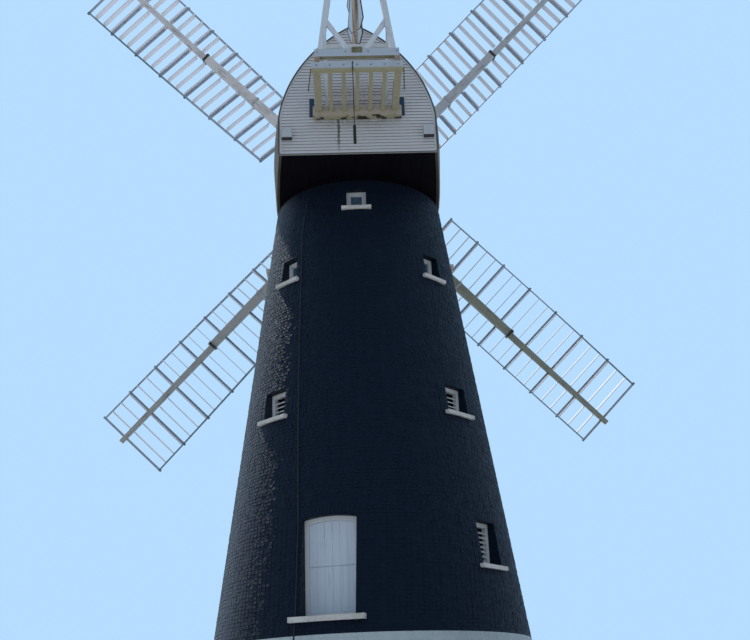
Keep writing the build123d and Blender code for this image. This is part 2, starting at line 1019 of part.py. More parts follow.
def shutter_rod(arm):
    # One rod before each whip that turns its shutters together, in guides by the bars
    start = crank_pivot()[0] + crank_boss + pin_gap
    with BuildPart() as rod:
        with BuildSketch(across_arm(arm, start, rod_middle())):
            Rectangle(rod_width, rod_thickness)
        extrude(amount=sail_tip - start)
        for k in range(bay_count + 1):
            r = sail_tip - bay_length * k - 60
            low = whip_front(r) + fit_gap
            with BuildSketch(across_arm(arm, r, (low + rod_middle()) / 2)):
                Rectangle(rod_width + 14, rod_middle() - low)
            extrude(amount=40)
    return rod.part


def shutter_rods():
    return Compound(children=[shutter_rod(arm) for arm in range(4)])


def box_between(low, high):
    # A squared timber between two corners
    with BuildPart() as timber:
        with BuildSketch(Plane.XY.offset(low[2])):
            with Locations(((low[0] + high[0]) / 2, (low[1] + high[1]) / 2)):
                Rectangle(high[0] - low[0], high[1] - low[1])
        extrude(amount=high[2] - low[2])
    return timber.part


def leg_offset(z):
    return tapered((leg_bottom, leg_foot_offset), (fan_height, leg_head_offset), z)


def backboard():
    top = stage_top - backboard_drop + backboard_height
    low = (-backboard_half_width, cap_rear, stage_top - backboard_drop)
    return box_between(low, (backboard_half_width, cap_rear + backboard_thickness, top))


def stage_beams():
    # The beam along the wall and the beam at the outer end
    wall_face = cap_rear + backboard_thickness
    wall = box_between(
        (-wall_beam_half_width, wall_face, stage_top - wall_beam_height),
        (wall_beam_half_width, wall_face + wall_beam_depth, stage_top),
    )
    outer = box_between(
        (-stage_half_width, stage_depth - end_beam_depth, stage_top - end_beam_height),
        (stage_half_width, stage_depth, stage_top),
    )
    return Compound(children=[wall, outer])


def stage_joists():
    bars = []
    start = cap_rear + backboard_thickness + wall_beam_depth
    end = stage_depth - end_beam_depth
    places = [(i * joist_spacing, joist_width) for i in (-2, -1, 0, 1, 2)]
    places = places + [(-end_joist_place, end_joist_width), (end_joist_place, end_joist_width)]
    for x, width in places:
        bar_start = (x - width / 2, start, stage_top - joist_height)
        bars.append(box_between(bar_start, (x + width / 2, end, stage_top)))
    return Compound(children=bars)


def stage_posts():
    posts = []
    for side in (-1, 1):
        x = side * (top_beam_half_width - stage_post_size / 2)
        posts.append(
            box_between(
                (x - stage_post_size / 2, stage_depth - stage_post_size, stage_top),
                (x + stage_post_size / 2, stage_depth, top_beam_bottom),
            )
        )
    return Compound(children=posts)


def stage_top_beam():
    return box_between(
        (-top_beam_half_width, stage_depth - top_beam_depth, top_beam_bottom),
        (top_beam_half_width, stage_depth, leg_bottom),
    )


def fan_middle():
    return stage_depth - leg_depth / 2


def fan_legs():
    # Two legs that lean together, with bored heads for the spindle
    top = fan_height + leg_head
    legs = []
    for side in (-1, 1):
        corners = [
            (side * (leg_offset(z) + half), z)
            for z, half in (
                (leg_bottom, -leg_width / 2),
                (leg_bottom, leg_width / 2),
                (top, leg_width / 2),
                (top, -leg_width / 2),
            )
        ]
        with BuildPart() as leg:
            with BuildSketch(section_plane(stage_depth)):
                with BuildLine():
                    Polyline(corners, close=True)
                make_face()
            extrude(amount=leg_depth)
            with BuildSketch(Plane(origin=(0, fan_middle(), fan_height), x_dir=(0, 1, 0), z_dir=(1, 0, 0))):
                Circle(spindle_radius + bearing_gap)
            extrude(amount=2 * leg_foot_offset, both=True, mode=Mode.SUBTRACT)
        legs.append(leg.part)
    return Compound(children=legs)


def leg_brace(side):
    # Slants from the middle of the top beam out to a leg
    low = leg_bottom + brace_rise - brace_width
    high = leg_bottom + brace_rise + brace_width / 2
    corners = [
        (brace_foot - brace_width / 2, leg_bottom),
        (brace_foot + brace_width / 2, leg_bottom),
        (leg_offset(low) - leg_width / 2, low),
        (leg_offset(high) - leg_width / 2, high),
    ]
    with BuildPart() as brace:
        with BuildSketch(section_plane(fan_middle() + brace_depth / 2)):
            with BuildLine():
                Polyline([(side * x, z) for x, z in corners], close=True)
            make_face()
        extrude(amount=brace_depth)
    return brace.part


def raking_strut(side):
    # Slants from the back of a leg down to the wall end of the stage
    wall_face = cap_rear + backboard_thickness
    leg_back = stage_depth - leg_depth
    head = leg_bottom + strut_rise
    corners = [
        (wall_face + fit_gap, stage_top),
        (wall_face + wall_beam_depth, stage_top),
        (leg_back, head - strut_cut),
        (leg_back, head),
    ]
    middle = side * leg_offset(head)
    with BuildPart() as strut:
        with BuildSketch(Plane(origin=(middle - strut_width / 2, 0, 0), x_dir=(0, 1, 0), z_dir=(1, 0, 0))):
            with BuildLine():
                Polyline(corners, close=True)
            make_face()
        extrude(amount=strut_width)
    return strut.part


def fan_leg_braces():
    sides = (-1, 1)
    return Compound(children=[leg_brace(side) for side in sides] + [raking_strut(side) for side in sides])


def drive_saddle():
    # Iron seat astride the middle of the top beam
    top = leg_bottom + saddle_wall
    with BuildPart() as saddle:
        with BuildSketch(Plane(origin=(-saddle_half_width, 0, 0), x_dir=(0, 1, 0), z_dir=(1, 0, 0))):
            with Locations((stage_depth - top_beam_depth / 2, top - saddle_height / 2)):
                Rectangle(top_beam_depth + 2 * saddle_wall, saddle_height)
            with Locations((stage_depth - top_beam_depth / 2, (leg_bottom + top_beam_bottom) / 2)):
                Rectangle(top_beam_depth, top_beam_height, mode=Mode.SUBTRACT)
        extrude(amount=2 * saddle_half_width)
    return saddle.part


def stay_rods():
    # Iron rods from the outer corners of the stage up to the wall
    rods = []
    for side in (-1, 1):
        foot_offset = stage_half_width + tie_radius + fit_gap
        foot = Vector(side * foot_offset, stage_depth - end_beam_depth / 2, stage_top - tie_foot_drop)
        head = Vector(side * (stage_half_width + tie_head_offset), cap_rear, stage_top + tie_head_rise)
        along = (head - foot).normalized()
        with BuildPart() as rod:
            with BuildSketch(Plane(origin=foot, z_dir=along)):
                Circle(tie_radius)
            extrude(amount=(head - foot).length - tie_radius)
        rods.append(rod.part)
    return Compound(children=rods)


def fan_spindle():
    reach = leg_offset(fan_height) + leg_width
    with BuildPart() as spindle:
        with BuildSketch(Plane(origin=(0, fan_middle(), fan_height), x_dir=(0, 1, 0), z_dir=(1, 0, 0))):
            Circle(spindle_radius)
        extrude(amount=reach, both=True)
        with BuildSketch(Plane(origin=(0, fan_middle(), fan_height), x_dir=(0, 1, 0), z_dir=(1, 0, 0))):
            RegularPolygon(fan_hub_radius, fan_vanes, major_radius=False, rotation=180 / fan_vanes)
        extrude(amount=fan_hub_length / 2, both=True)
    return spindle.part


def vane(number):
    # One spar with its pitched blade, wider towards the tip
    angle = radians(360 / fan_vanes * number)
    along = Vector(0, sin(angle), -cos(angle))
    centre = Vector(0, fan_middle(), fan_height)
    across = Vector(1, 0, 0)
    around = along.cross(across)
    pitch = radians(vane_pitch)
    blade_across = across * cos(pitch) + around * sin(pitch)
    normal = along.cross(blade_across)
    blade_plane = Plane(origin=centre, x_dir=along, z_dir=normal)
    with BuildPart() as blade:
        with BuildSketch(blade_plane.offset(-vane_thickness / 2)):
            with BuildLine():
                Polyline(
                    (vane_root, -vane_root_width / 2),
                    (vane_wide_place, -vane_wide_width / 2),
                    (fan_radius, -vane_tip_width / 2),
                    (fan_radius, vane_tip_width / 2),
                    (vane_wide_place, vane_wide_width / 2),
                    (vane_root, vane_root_width / 2),
                    close=True,
                )
            make_face()
        extrude(amount=vane_thickness)
        spar_root = fan_hub_radius + fit_gap
        add(tapered_beam(blade_plane, spar_root, fan_radius, spar_size, spar_size, -vane_spar / 2))
    return blade.part


def spar_size(r):
    return tapered((fan_hub_radius, vane_spar), (fan_radius, vane_spar_tip), r)


def fan_vane_set():
    return Compound(children=[vane(number) for number in range(fan_vanes)])


def rope_plane(z):
    # The rope hangs close against the outer face of the stage
    return Plane(origin=(rope_side, stage_depth + rope_radius + fit_gap, z))


def brake_rope():
    with BuildPart() as rope:
        with BuildSketch(rope_plane(stage_top - rope_length)):
            Circle(rope_radius)
        extrude(amount=rope_length)
    return rope.part


def rope_toggle():
    with BuildPart() as toggle:
        with BuildSketch(rope_plane(stage_top - rope_length - toggle_length)):
            Circle(toggle_radius)
        extrude(amount=toggle_length)
    return toggle.part


os.makedirs("parts", exist_ok=True)
save("ground_floor", ground_floor())
save("base_wall_odd_bays", wall_bays_from(0, 0, ground_storey_height, [entrance]))
save("base_wall_even_bays", wall_bays_from(1, 0, ground_storey_height, [entrance]))
save("tower_wall_odd_bays", wall_bays_from(0, ground_storey_height, tower_height, upper_openings))
save("tower_wall_even_bays", wall_bays_from(1, ground_storey_height, tower_height, upper_openings))
save("upper_floors", all_upper_floors())
save("louvred_windows", louvred_windows())
save("casement_frames", casement_frames())
save("casement_glass", casement_glass())
save("window_sills", sills())
save("loading_door_frame", opening_frame(loading_door))
save("loading_door_leaves", loading_leaves())
save("loading_door_sill", sill_block(loading_door))
save("entrance_door_frame", opening_frame(entrance))
save("entrance_door", entrance_leaf())
save("curb_ring", curb())
save("cap_left_side", cap_side())
with BuildPart() as cap_right:
    mirror(cap_side(), about=Plane.YZ)
save("cap_right_side", cap_right.part)
save("cap_rear_gable", rear_gable())
save("cap_front_gable", front_gable())
save("rear_bargeboards", bargeboards())
save("cap_soffit", soffit())
save("cap_cross_beams", cross_beams())
save("cap_sheers", sheers())
save("neck_bearing_frame", bearing_frame(neck_bearing_back, neck_radius))
save("tail_bearing_frame", bearing_frame(tail_bearing_back, shaft_radius))
save("stage_backboard", backboard())
save("stage_beams", stage_beams())
save("stage_joists", stage_joists())
save("stage_posts", stage_posts())
save("stage_top_beam", stage_top_beam())
save("fan_legs", fan_legs())
save("fan_leg_braces", fan_leg_braces())
save("fan_drive_saddle", drive_saddle())
save("stage_stay_rods", stay_rods())
save("brake_rope", brake_rope())
save("brake_rope_toggle", rope_toggle())
save("windshaft", windshaft())
save("canister", canister())
save("stock_front", stock(0))
save("stock_rear", stock(1))
for number in range(4):
    save(f"sail_frame_{number + 1}", sail_frame(number))
    save(f"sail_shutters_{number + 1}", shutters(number))
save("stock_clamps", clamps())
save("striking_spider", spider())
save("striking_links", striking_links())
save("shutter_rods", shutter_rods())
save("fan_spindle", fan_spindle())
save("fan_vanes", fan_vane_set())
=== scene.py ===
import bpy
import math
import random
from functools import partial
from mathutils import Matrix, Vector


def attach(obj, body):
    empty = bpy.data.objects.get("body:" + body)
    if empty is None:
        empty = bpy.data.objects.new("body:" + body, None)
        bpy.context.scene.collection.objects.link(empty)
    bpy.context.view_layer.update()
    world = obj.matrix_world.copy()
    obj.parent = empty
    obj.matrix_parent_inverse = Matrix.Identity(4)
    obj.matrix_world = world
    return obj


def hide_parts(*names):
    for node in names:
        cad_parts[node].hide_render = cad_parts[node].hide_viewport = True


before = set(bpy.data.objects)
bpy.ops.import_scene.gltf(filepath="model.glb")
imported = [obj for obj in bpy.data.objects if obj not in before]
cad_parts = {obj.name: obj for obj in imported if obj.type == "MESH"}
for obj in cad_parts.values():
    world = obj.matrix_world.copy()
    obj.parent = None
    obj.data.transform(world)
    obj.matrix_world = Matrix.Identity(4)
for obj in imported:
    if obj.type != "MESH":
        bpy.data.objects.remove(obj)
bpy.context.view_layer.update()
bpy.ops.object.select_all(action="DESELECT")
print("frame loaded")

# The photo's camera; yaw, pitch and roll in degrees
cameraStand = {
    "place": (0.408, 23.452, 1.10),
    "yaw": 1.778,
    "pitch": 21.397,
    "roll": -2.172,
    "lens": 50.386,
    "sensor": 36,
    "reach": 200,
}


def addCamera(stand):
    yaw, pitch, roll = [math.radians(stand[key]) for key in ("yaw", "pitch", "roll")]
    forward = Vector((-math.sin(yaw) * math.cos(pitch), -math.cos(yaw) * math.cos(pitch), math.sin(pitch)))
    level = Vector((-math.cos(yaw), math.sin(yaw), 0))
    upright = level.cross(forward)
    right = math.cos(roll) * level + math.sin(roll) * upright
    up = math.cos(roll) * upright - math.sin(roll) * level
    data = bpy.data.cameras.new("camera")
    data.lens = stand["lens"]
    data.sensor_width = stand["sensor"]
    data.clip_end = stand["reach"]
    camera = bpy.data.objects.new("camera", data)
    bpy.context.scene.collection.objects.link(camera)
    turn = Matrix((right, up, -forward)).transposed().to_4x4()
    camera.matrix_world = Matrix.Translation(stand["place"]) @ turn
    bpy.context.scene.camera = camera


addCamera(cameraStand)

# Brake rope: hangs from the outer beam of the fan stage and ends in its wooden toggle
ropeRoute = {
    "top": (0.1, 4.8694, 14.25),
    "bottom": (0.1, 4.8694, 12.68),
    "between": (0.35, 0.7),
    "radius": 0.009,
}


def addRope(route):
    curve = bpy.data.curves.new("brake_rope_line", "CURVE")
    curve.dimensions = "3D"
    spline = curve.splines.new("NURBS")
    top, bottom = Vector(route["top"]), Vector(route["bottom"])
    points = [top, *(top.lerp(bottom, share) for share in route["between"]), bottom]
    spline.points.add(len(points) - 1)
    for point, place in zip(spline.points, points):
        point.co = (*place, 1)
    spline.order_u = 3
    spline.use_endpoint_u = True
    curve.bevel_depth = route["radius"]
    curve.bevel_resolution = 4
    rope = bpy.data.objects.new("brake_rope_line", curve)
    bpy.context.scene.collection.objects.link(rope)
    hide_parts("brake_rope")
    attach(rope, "cap")
    return rope


brakeRope = addRope(ropeRoute)


# Short ways to join shader nodes; each finds its tree through a socket that it is given
def feed(socket, value):
    # An output is joined to the socket; a tuple is a colour without its alpha
    if isinstance(value, bpy.types.NodeSocket):
        socket.id_data.links.new(value, socket)
    else:
        socket.default_value = (*value, 1) if isinstance(value, tuple) else value


def joined(kind, values, output=0, **settings):
    # A new node with its settings, fed by input label or number
    tree = next(value.id_data for value in values.values() if isinstance(value, bpy.types.NodeSocket))
    node = tree.nodes.new(f"ShaderNode{kind}")
    for key, setting in settings.items():
        setattr(node, key, setting)
    for label, value in values.items():
        feed(node.inputs[label], value)
    return node.outputs[output]


def mathNode(operation, first, second=0):
    return joined("Math", {0: first, 1: second}, operation=operation)


def product(first, *others):
    for other in others:
        first = mathNode("MULTIPLY", first, other)
    return first


def mixColour(factor, first, second):
    return joined("Mix", {0: factor, 6: first, 7: second}, 2, data_type="RGBA")


def coat(base, mask, colour, strength=1):
    # Another colour over the base, where the mask shows
    return mixColour(mask if strength == 1 else product(mask, strength), base, colour)


def noiseNode(vector, scale, detail=4, roughness=0.6):
    return joined("TexNoise", {"Vector": vector, "Scale": scale, "Detail": detail, "Roughness": roughness}, "Fac")


def rangeNode(value, low, high, toLow=0, toHigh=1):
    return joined("MapRange", {0: value, 1: low, 2: high, 3: toLow, 4: toHigh}, "Result")


def axes(vector):
    # The X, Y and Z of a vector
    return tuple(joined("SeparateXYZ", {0: vector}).node.outputs)


def turned(vector, rotation=(0, 0, 0), scale=(1, 1, 1)):
    radians = [math.radians(angle) for angle in rotation]
    return joined("Mapping", {"Vector": vector, "Rotation": radians, "Scale": Vector(scale)})


def measured(operation, vector, other):
    # Metres along a direction with DOT_PRODUCT, or from a point with DISTANCE
    return joined("VectorMath", {0: vector, 1: Vector(other)}, "Value", operation=operation)


def undersides(coords):
    # A mask of the faces that look down, where painted shade and light from below go
    normal = coords.id_data.nodes.new("ShaderNodeTexCoord").outputs["Normal"]
    return rangeNode(axes(normal)[2], -0.4, -0.7)


# Lamps, sky and floor; the sun's turn is in degrees
bpy.context.scene.view_settings.view_transform = "Standard"
studio = {
    "sunTurn": (36, 0, 40),
    "sunStrength": 3.2,
    "sunSpread": 2,
    "sunColour": (1, 0.965, 0.9),
    "skyFill": (0.74, 0.87, 1),
    "skyStrength": 0.46,
}
backdrop = {
    "floorColour": (0.86, 0.88, 0.9),
    "floorBounce": (0.5, 0.51, 0.52),
    "skyColour": (0.47, 0.72, 1),
    "floorHalf": 900,
    "floorDrop": 0.002,
}


def addSun():
    data = bpy.data.lights.new("sun", "SUN")
    data.energy = studio["sunStrength"]
    data.angle = math.radians(studio["sunSpread"])
    data.color = studio["sunColour"]
    lamp = bpy.data.objects.new("sun", data)
    lamp.rotation_euler = [math.radians(angle) for angle in studio["sunTurn"]]
    bpy.context.scene.collection.objects.link(lamp)


def addSky():
    # One colour lights the scene, another is seen, also through and in the panes
    world = bpy.data.worlds.new("sky")
    bpy.context.scene.world = world
    world.use_nodes = True
    tree = world.node_tree
    tree.nodes.clear()
    out = tree.nodes.new("ShaderNodeOutputWorld")
    mix = tree.nodes.new("ShaderNodeMixShader")
    path = tree.nodes.new("ShaderNodeLightPath")
    rays = [path.outputs[f"Is {kind} Ray"] for kind in ("Camera", "Transmission", "Glossy")]
    shown = mathNode("ADD", mathNode("ADD", rays[0], rays[1]), rays[2])
    shown.node.use_clamp = True
    feed(mix.inputs["Fac"], shown)
    lights = ((studio["skyFill"], studio["skyStrength"]), (backdrop["skyColour"], 1))
    for index, (colour, strength) in enumerate(lights):
        light = tree.nodes.new("ShaderNodeBackground")
        feed(light.inputs["Color"], colour)
        feed(light.inputs["Strength"], strength)
        feed(mix.inputs[1 + index], light.outputs["Background"])
    feed(out.inputs["Surface"], mix.outputs["Shader"])


def addFloor():
    # Pale to the eye, with a quieter bounce so that the shaded side of the tower stays dark
    bpy.ops.mesh.primitive_plane_add(size=2 * backdrop["floorHalf"], location=(0, 0, -backdrop["floorDrop"]))
    floor = bpy.context.active_object
    floor.name = "floor"
    bpy.ops.object.transform_apply()
    paint = bpy.data.materials.new("floorPaint")
    paint.use_nodes = True
    tree = paint.node_tree
    shader = tree.nodes["Principled BSDF"]
    path = tree.nodes.new("ShaderNodeLightPath")
    seen = mixColour(path.outputs["Is Camera Ray"], backdrop["floorBounce"], backdrop["floorColour"])
    for label, value in (("Base Color", seen), ("Roughness", 0.9), ("Specular IOR Level", 0.1)):
        feed(shader.inputs[label], value)
    floor.data.materials.append(paint)
    bpy.ops.object.select_all(action="DESELECT")


addSun()
addSky()
addFloor()
print("studio ready")


# Shared effects, as node groups
def newGroup(name, inputs, outputs):
    group = bpy.data.node_groups.new(name, "ShaderNodeTree")
    for label, kind, value in inputs:
        socket = group.interface.new_socket(label, in_out="INPUT", socket_type=kind)
        socket.default_value = value
    for label in outputs:
        group.interface.new_socket(label, in_out="OUTPUT", socket_type="NodeSocketFloat")
    return group, group.nodes.new("NodeGroupInput").outputs, group.nodes.new("NodeGroupOutput").inputs


def makeDirtGroup():
    # Patches of grime: a mask from coarse and fine noise
    group, source, sink = newGroup(
        "grimePatches",
        [
            ("Vector", "NodeSocketVector", (0, 0, 0)),
            ("Scale", "NodeSocketFloat", 1),
            ("Amount", "NodeSocketFloat", 0.5),
        ],
        ["Mask", "Fine"],
    )
    coarse = noiseNode(source["Vector"], source["Scale"], 5, 0.65)
    fine = noiseNode(source["Vector"], product(source["Scale"], 9), 4, 0.7)
    both = mathNode("ADD", product(coarse, 0.7), product(fine, 0.3))
    lifted = mathNode("ADD", both, mathNode("SUBTRACT", source["Amount"], 0.5))
    feed(sink["Mask"], rangeNode(lifted, 0.45, 0.62))
    feed(sink["Fine"], fine)
    return group


def makeGrainGroup():
    # Wood grain that runs along local X of the vector it is given
    group, source, sink = newGroup(
        "woodGrain",
        [("Vector", "NodeSocketVector", (0, 0, 0)), ("Scale", "NodeSocketFloat", 12)],
        ["Grain", "Cracks"],
    )
    stretched = turned(source["Vector"], scale=(0.06, 1, 1))
    cracks = noiseNode(stretched, product(source["Scale"], 1.7), 3, 0.5)
    feed(sink["Grain"], noiseNode(stretched, source["Scale"], 6, 0.62))
    feed(sink["Cracks"], rangeNode(cracks, 0.6, 0.68))
    return group


def useGroup(group, vector, *numbers):
    node = vector.id_data.nodes.new("ShaderNodeGroup")
    node.node_tree = group
    for socket, value in zip(node.inputs, (vector, *numbers)):
        feed(socket, value)
    return tuple(node.outputs)


grime = partial(useGroup, makeDirtGroup())
grain = partial(useGroup, makeGrainGroup())


def newPaint(name, roughness, specular):
    paint = bpy.data.materials.new(name)
    paint.use_nodes = True
    tree = paint.node_tree
    shader = tree.nodes["Principled BSDF"]
    feed(shader.inputs["Roughness"], roughness)
    feed(shader.inputs["Specular IOR Level"], specular)
    return paint, tree.nodes.new("ShaderNodeTexCoord").outputs["Object"]


def newWood(name, roughness, specular, rotation, grainScale, dirtScale, dirtAmount):
    # Gives the paint and its coords, then grain, cracks, dirt and the dirt's fine noise
    paint, coords = newPaint(name, roughness, specular)
    return (paint, coords, *grain(turned(coords, rotation), grainScale), *grime(coords, dirtScale, dirtAmount))


def dress(paint, base, height, distance, strength, roughness=None):
    # Joins the colour, the bump and, where it varies, the roughness to the paint's shader
    sockets = paint.node_tree.nodes["Principled BSDF"].inputs
    feed(sockets["Base Color"], base)
    if roughness:
        feed(sockets["Roughness"], roughness)
    feed(sockets["Normal"], joined("Bump", {"Height": height, "Distance": distance, "Strength": strength}))
    return paint


def shaded(colour, share):
    return tuple(share * part for part in colour)


# The side of the tower that the sun lights, where the tar is painted paler as painted sunlight with some bleaching,
# and the sheen of its tar
tarSunAndSheen = {"sunny": (0.656, -0.755, 0), "fade": (-0.15, 0.95), "sheen": (0.4, 0.63, 0.92)}


def makeTar(name, colour, worn, sunlitPale):
    # Thick tar over brick: lumpy, with paler worn spots, and painted paler on the sunny side: painted sunlight,
    # with some sun-bleaching
    paint, coords = newPaint(name, 0.55, 0.23)
    feed(paint.node_tree.nodes["Principled BSDF"].inputs["Specular Tint"], tarSunAndSheen["sheen"])
    mask, fine = grime(coords, 1.1, 0.36)
    sunny = rangeNode(measured("DOT_PRODUCT", coords, tarSunAndSheen["sunny"]), *tarSunAndSheen["fade"])
    # The last coat is painted sunlight on the side towards the sun, with some bleaching
    base = coat(coat(colour, mask, worn), sunny, sunlitPale)
    lumps = noiseNode(coords, 17, 6, 0.66)
    return dress(paint, base, lumps, 0.036, 1, rangeNode(fine, 0.3, 0.7, 0.45, 0.7))


def makeMasonryPaint():
    # White masonry paint, dusty and rain-marked, splashed with mud near the ground
    paint, coords = newPaint("whiteMasonryPaint", 0.72, 0.2)
    mask, fine = grime(coords, 0.8, 0.47)
    streaks = grime(turned(coords, scale=(1, 1, 0.12)), 3.2, 0.4)[0]
    base = coat((0.47, 0.56, 0.62), mask, (0.38, 0.45, 0.49))
    base = coat(base, streaks, (0.24, 0.27, 0.26), 0.45)
    height = mathNode("ADD", axes(coords)[2], product(fine, 0.5))
    base = coat(base, rangeNode(height, 0.7, 0.2), (0.19, 0.2, 0.16), 0.55)
    return dress(paint, base, noiseNode(coords, 40), 0.004, 0.7)


def makePaintedWood(name, colour, dirt, rotation=(0, 0, 0), dirtAmount=0.44, under=None):
    # Oil paint on sawn timber: grain shows faintly, dirt gathers in patches and cracks; faces that look down can
    # take an under colour, painted shade and ground light
    paint, coords, rings, cracks, mask, fine = newWood(name, 0.58, 0.28, rotation, 14, 1.9, dirtAmount)
    base = coat(colour, mask, dirt, 0.7)
    base = coat(base, cracks, dirt, 0.5)
    base = coat(base, rangeNode(rings, 0.3, 0.7, 0, 0.25), shaded(colour, 0.72))
    # Faces that look down take the under colour: painted shade, tinted with painted ground light where it is olive
    if under:
        paintedUnderside = coat(under, rangeNode(fine, 0.3, 0.7, 0, 0.5), shaded(under, 0.45))
        base = coat(base, undersides(coords), paintedUnderside)
    return dress(paint, base, rings, 0.003, 0.6, rangeNode(fine, 0.3, 0.7, 0.48, 0.73))


# Marks on the rear gable: each pair of heights is where a mark begins and is full
gableMarks = {
    "runAside": 0.43,
    "runEdge": (0.035, 0.012),
    "runFoot": (13.1, 13.5),
    "beamFoot": (14.12, 14.02),
    "stageEdge": (1.05, 0.6),
    "underBeamFoot": (13.72, 14.0),
    "brownFoot": (14.0, 14.2),
    "brownTop": (15.1, 14.7),
}


def makeGableBoards():
    # White boards with a green-black run below the stage, a darker olive band under its beam, brown behind it, and
    # painted shade under each board's lip
    paint, coords, rings, cracks, mask, fine = newWood(
        "whiteGableBoards", 0.6, 0.25, (0, 0, 0), 30, 1.7, 0.4
    )
    grey = (0.42, 0.44, 0.44)
    base = coat((0.64, 0.66, 0.72), mask, grey, 0.6)
    base = coat(base, cracks, grey, 0.35)
    across, back, height = axes(coords)
    wobble = product(mathNode("SUBTRACT", fine, 0.5), 0.12)
    aside = mathNode("ADD", mathNode("SUBTRACT", across, gableMarks["runAside"]), wobble)
    narrow = rangeNode(mathNode("ABSOLUTE", aside), *gableMarks["runEdge"])
    wide = rangeNode(mathNode("ABSOLUTE", across), *gableMarks["stageEdge"])
    runFoot, beamFoot, underBeamFoot, brownFoot, brownTop = [
        rangeNode(height, *gableMarks[key])
        for key in ("runFoot", "beamFoot", "underBeamFoot", "brownFoot", "brownTop")
    ]
    run = product(narrow, runFoot, beamFoot)
    underBeamDark = product(underBeamFoot, beamFoot, wide, rangeNode(fine, 0.35, 0.65))
    brown = product(brownFoot, brownTop, wide, rangeNode(fine, 0.3, 0.6, 0.35, 0.9))
    base = coat(base, run, (0.05, 0.07, 0.03), 0.85)
    base = coat(base, underBeamDark, (0.2, 0.19, 0.13), 0.6)
    base = coat(base, brown, (0.36, 0.27, 0.22), 0.7)
    # Painted shade on the faces that look down, under the boards' lips
    base = coat(base, undersides(coords), (0.05, 0.055, 0.06))
    return dress(paint, base, rings, 0.002, 0.5)


# Where the backboard's blue ends, which are painted shadow, begin, by distance from the middle
backboardEnds = (0.955, 0.97)


def makeBackboard():
    # Dark blue only at the ends of the board, a painted shadow of the stage's brackets; white between
    paint, coords, rings, cracks, mask, fine = newWood("blueBackboard", 0.55, 0.28, (0, 0, 0), 30, 2.2, 0.4)
    ends = rangeNode(mathNode("ABSOLUTE", axes(coords)[0]), *backboardEnds)
    # Painted shadow at the board's ends
    paintedEndShadow = coat((0.022, 0.05, 0.095), mask, (0.05, 0.06, 0.06), 0.6)
    white = coat((0.4, 0.44, 0.48), mask, (0.2, 0.22, 0.2), 0.6)
    return dress(paint, coat(white, ends, paintedEndShadow), rings, 0.002, 0.6)


# Marks on the stage's beams: their halves by distance back, the rest by height
beamMarks = {"outer": (3.7, 3.8), "inner": (3.8, 3.7), "moss": (14.12, 14.085), "rot": (14.03, 14.0)}


def makeStageBeams():
    # Bluish white outer beam with moss along its lower edge, olive on both beams' undersides as painted light from
    # the ground, and a beige beam against the wall, partly stain and partly painted light from the ground
    paint, coords, rings, cracks, mask, fine = newWood("stageBeams", 0.6, 0.25, (0, 0, 0), 22, 3.1, 0.44)
    across, back, height = axes(coords)
    outer, inner = [rangeNode(back, *beamMarks[key]) for key in ("outer", "inner")]
    bluish = coat((0.46, 0.54, 0.66), mask, (0.3, 0.33, 0.36), 0.7)
    # Beige of the wall beam: stain, and painted light from the ground on a face that the stage hides from the sky
    stainAndBounceLight = coat((0.52, 0.46, 0.38), rangeNode(fine, 0.3, 0.7), (0.38, 0.35, 0.3))
    base = coat(bluish, inner, stainAndBounceLight)
    edge = mathNode("ADD", height, product(mathNode("SUBTRACT", fine, 0.5), 0.08))
    # Olive: painted light from the ground on the undersides; the moss along the outer beam's lower edge takes the
    # same colour
    paintedUnderside = coat((0.42, 0.4, 0.27), rangeNode(fine, 0.35, 0.65), (0.29, 0.28, 0.18))
    low = product(rangeNode(edge, *beamMarks["moss"]), outer)
    base = coat(base, mathNode("MAXIMUM", low, undersides(coords)), paintedUnderside)
    patches = rangeNode(noiseNode(coords, 4, 2), 0.52, 0.58)
    rot = product(rangeNode(edge, *beamMarks["rot"]), inner, patches)
    return dress(paint, coat(base, rot, (0.03, 0.028, 0.02)), rings, 0.002, 0.6)


# The fan's axle, and how thick a blade and how wide its middle board are drawn
fanWheel = {
    "axisY": 4.805,
    "axisZ": 16.45,
    "vanes": 8,
    "pitch": 45,
    "blade": (0.0135, 0.0145),
    "board": (0.136, 0.132),
}


def makeFanBoards():
    # Pale painted blades; the spar up the middle of each, and the board on it, are bare brown
    paint, coords, rings, cracks, mask, fine = newWood("fanBoards", 0.55, 0.28, (0, 90, 0), 26, 2.6, 0.42)
    across, back, height = axes(coords)
    blade = coat((0.6, 0.75, 0.92), mask, (0.4, 0.48, 0.56), 0.5)
    bare = coat((0.2, 0.14, 0.1), rangeNode(rings, 0.34, 0.6), (0.62, 0.56, 0.5))
    # The angle round the axle, less that of the nearest vane, tells how far a point lies aside
    backward = mathNode("SUBTRACT", back, fanWheel["axisY"])
    downward = mathNode("SUBTRACT", fanWheel["axisZ"], height)
    angle = mathNode("ARCTAN2", backward, downward)
    step = math.radians(360 / fanWheel["vanes"])
    nearest = product(mathNode("ROUND", mathNode("DIVIDE", angle, step)), step)
    swing = mathNode("SINE", mathNode("SUBTRACT", angle, nearest))
    squares = [mathNode("POWER", side, 2) for side in (backward, downward)]
    aside = product(mathNode("SQRT", mathNode("ADD", *squares)), swing)
    # Blades are pitched at 45 degrees, so the sum is off the blade and the difference off its middle
    offBlade = mathNode("ABSOLUTE", mathNode("ADD", aside, across))
    offMiddle = mathNode("ABSOLUTE", mathNode("SUBTRACT", aside, across))
    spar, board = rangeNode(offBlade, *fanWheel["blade"]), rangeNode(offMiddle, *fanWheel["board"])
    return dress(paint, coat(blade, mathNode("MAXIMUM", spar, board), bare), rings, 0.002, 0.6)


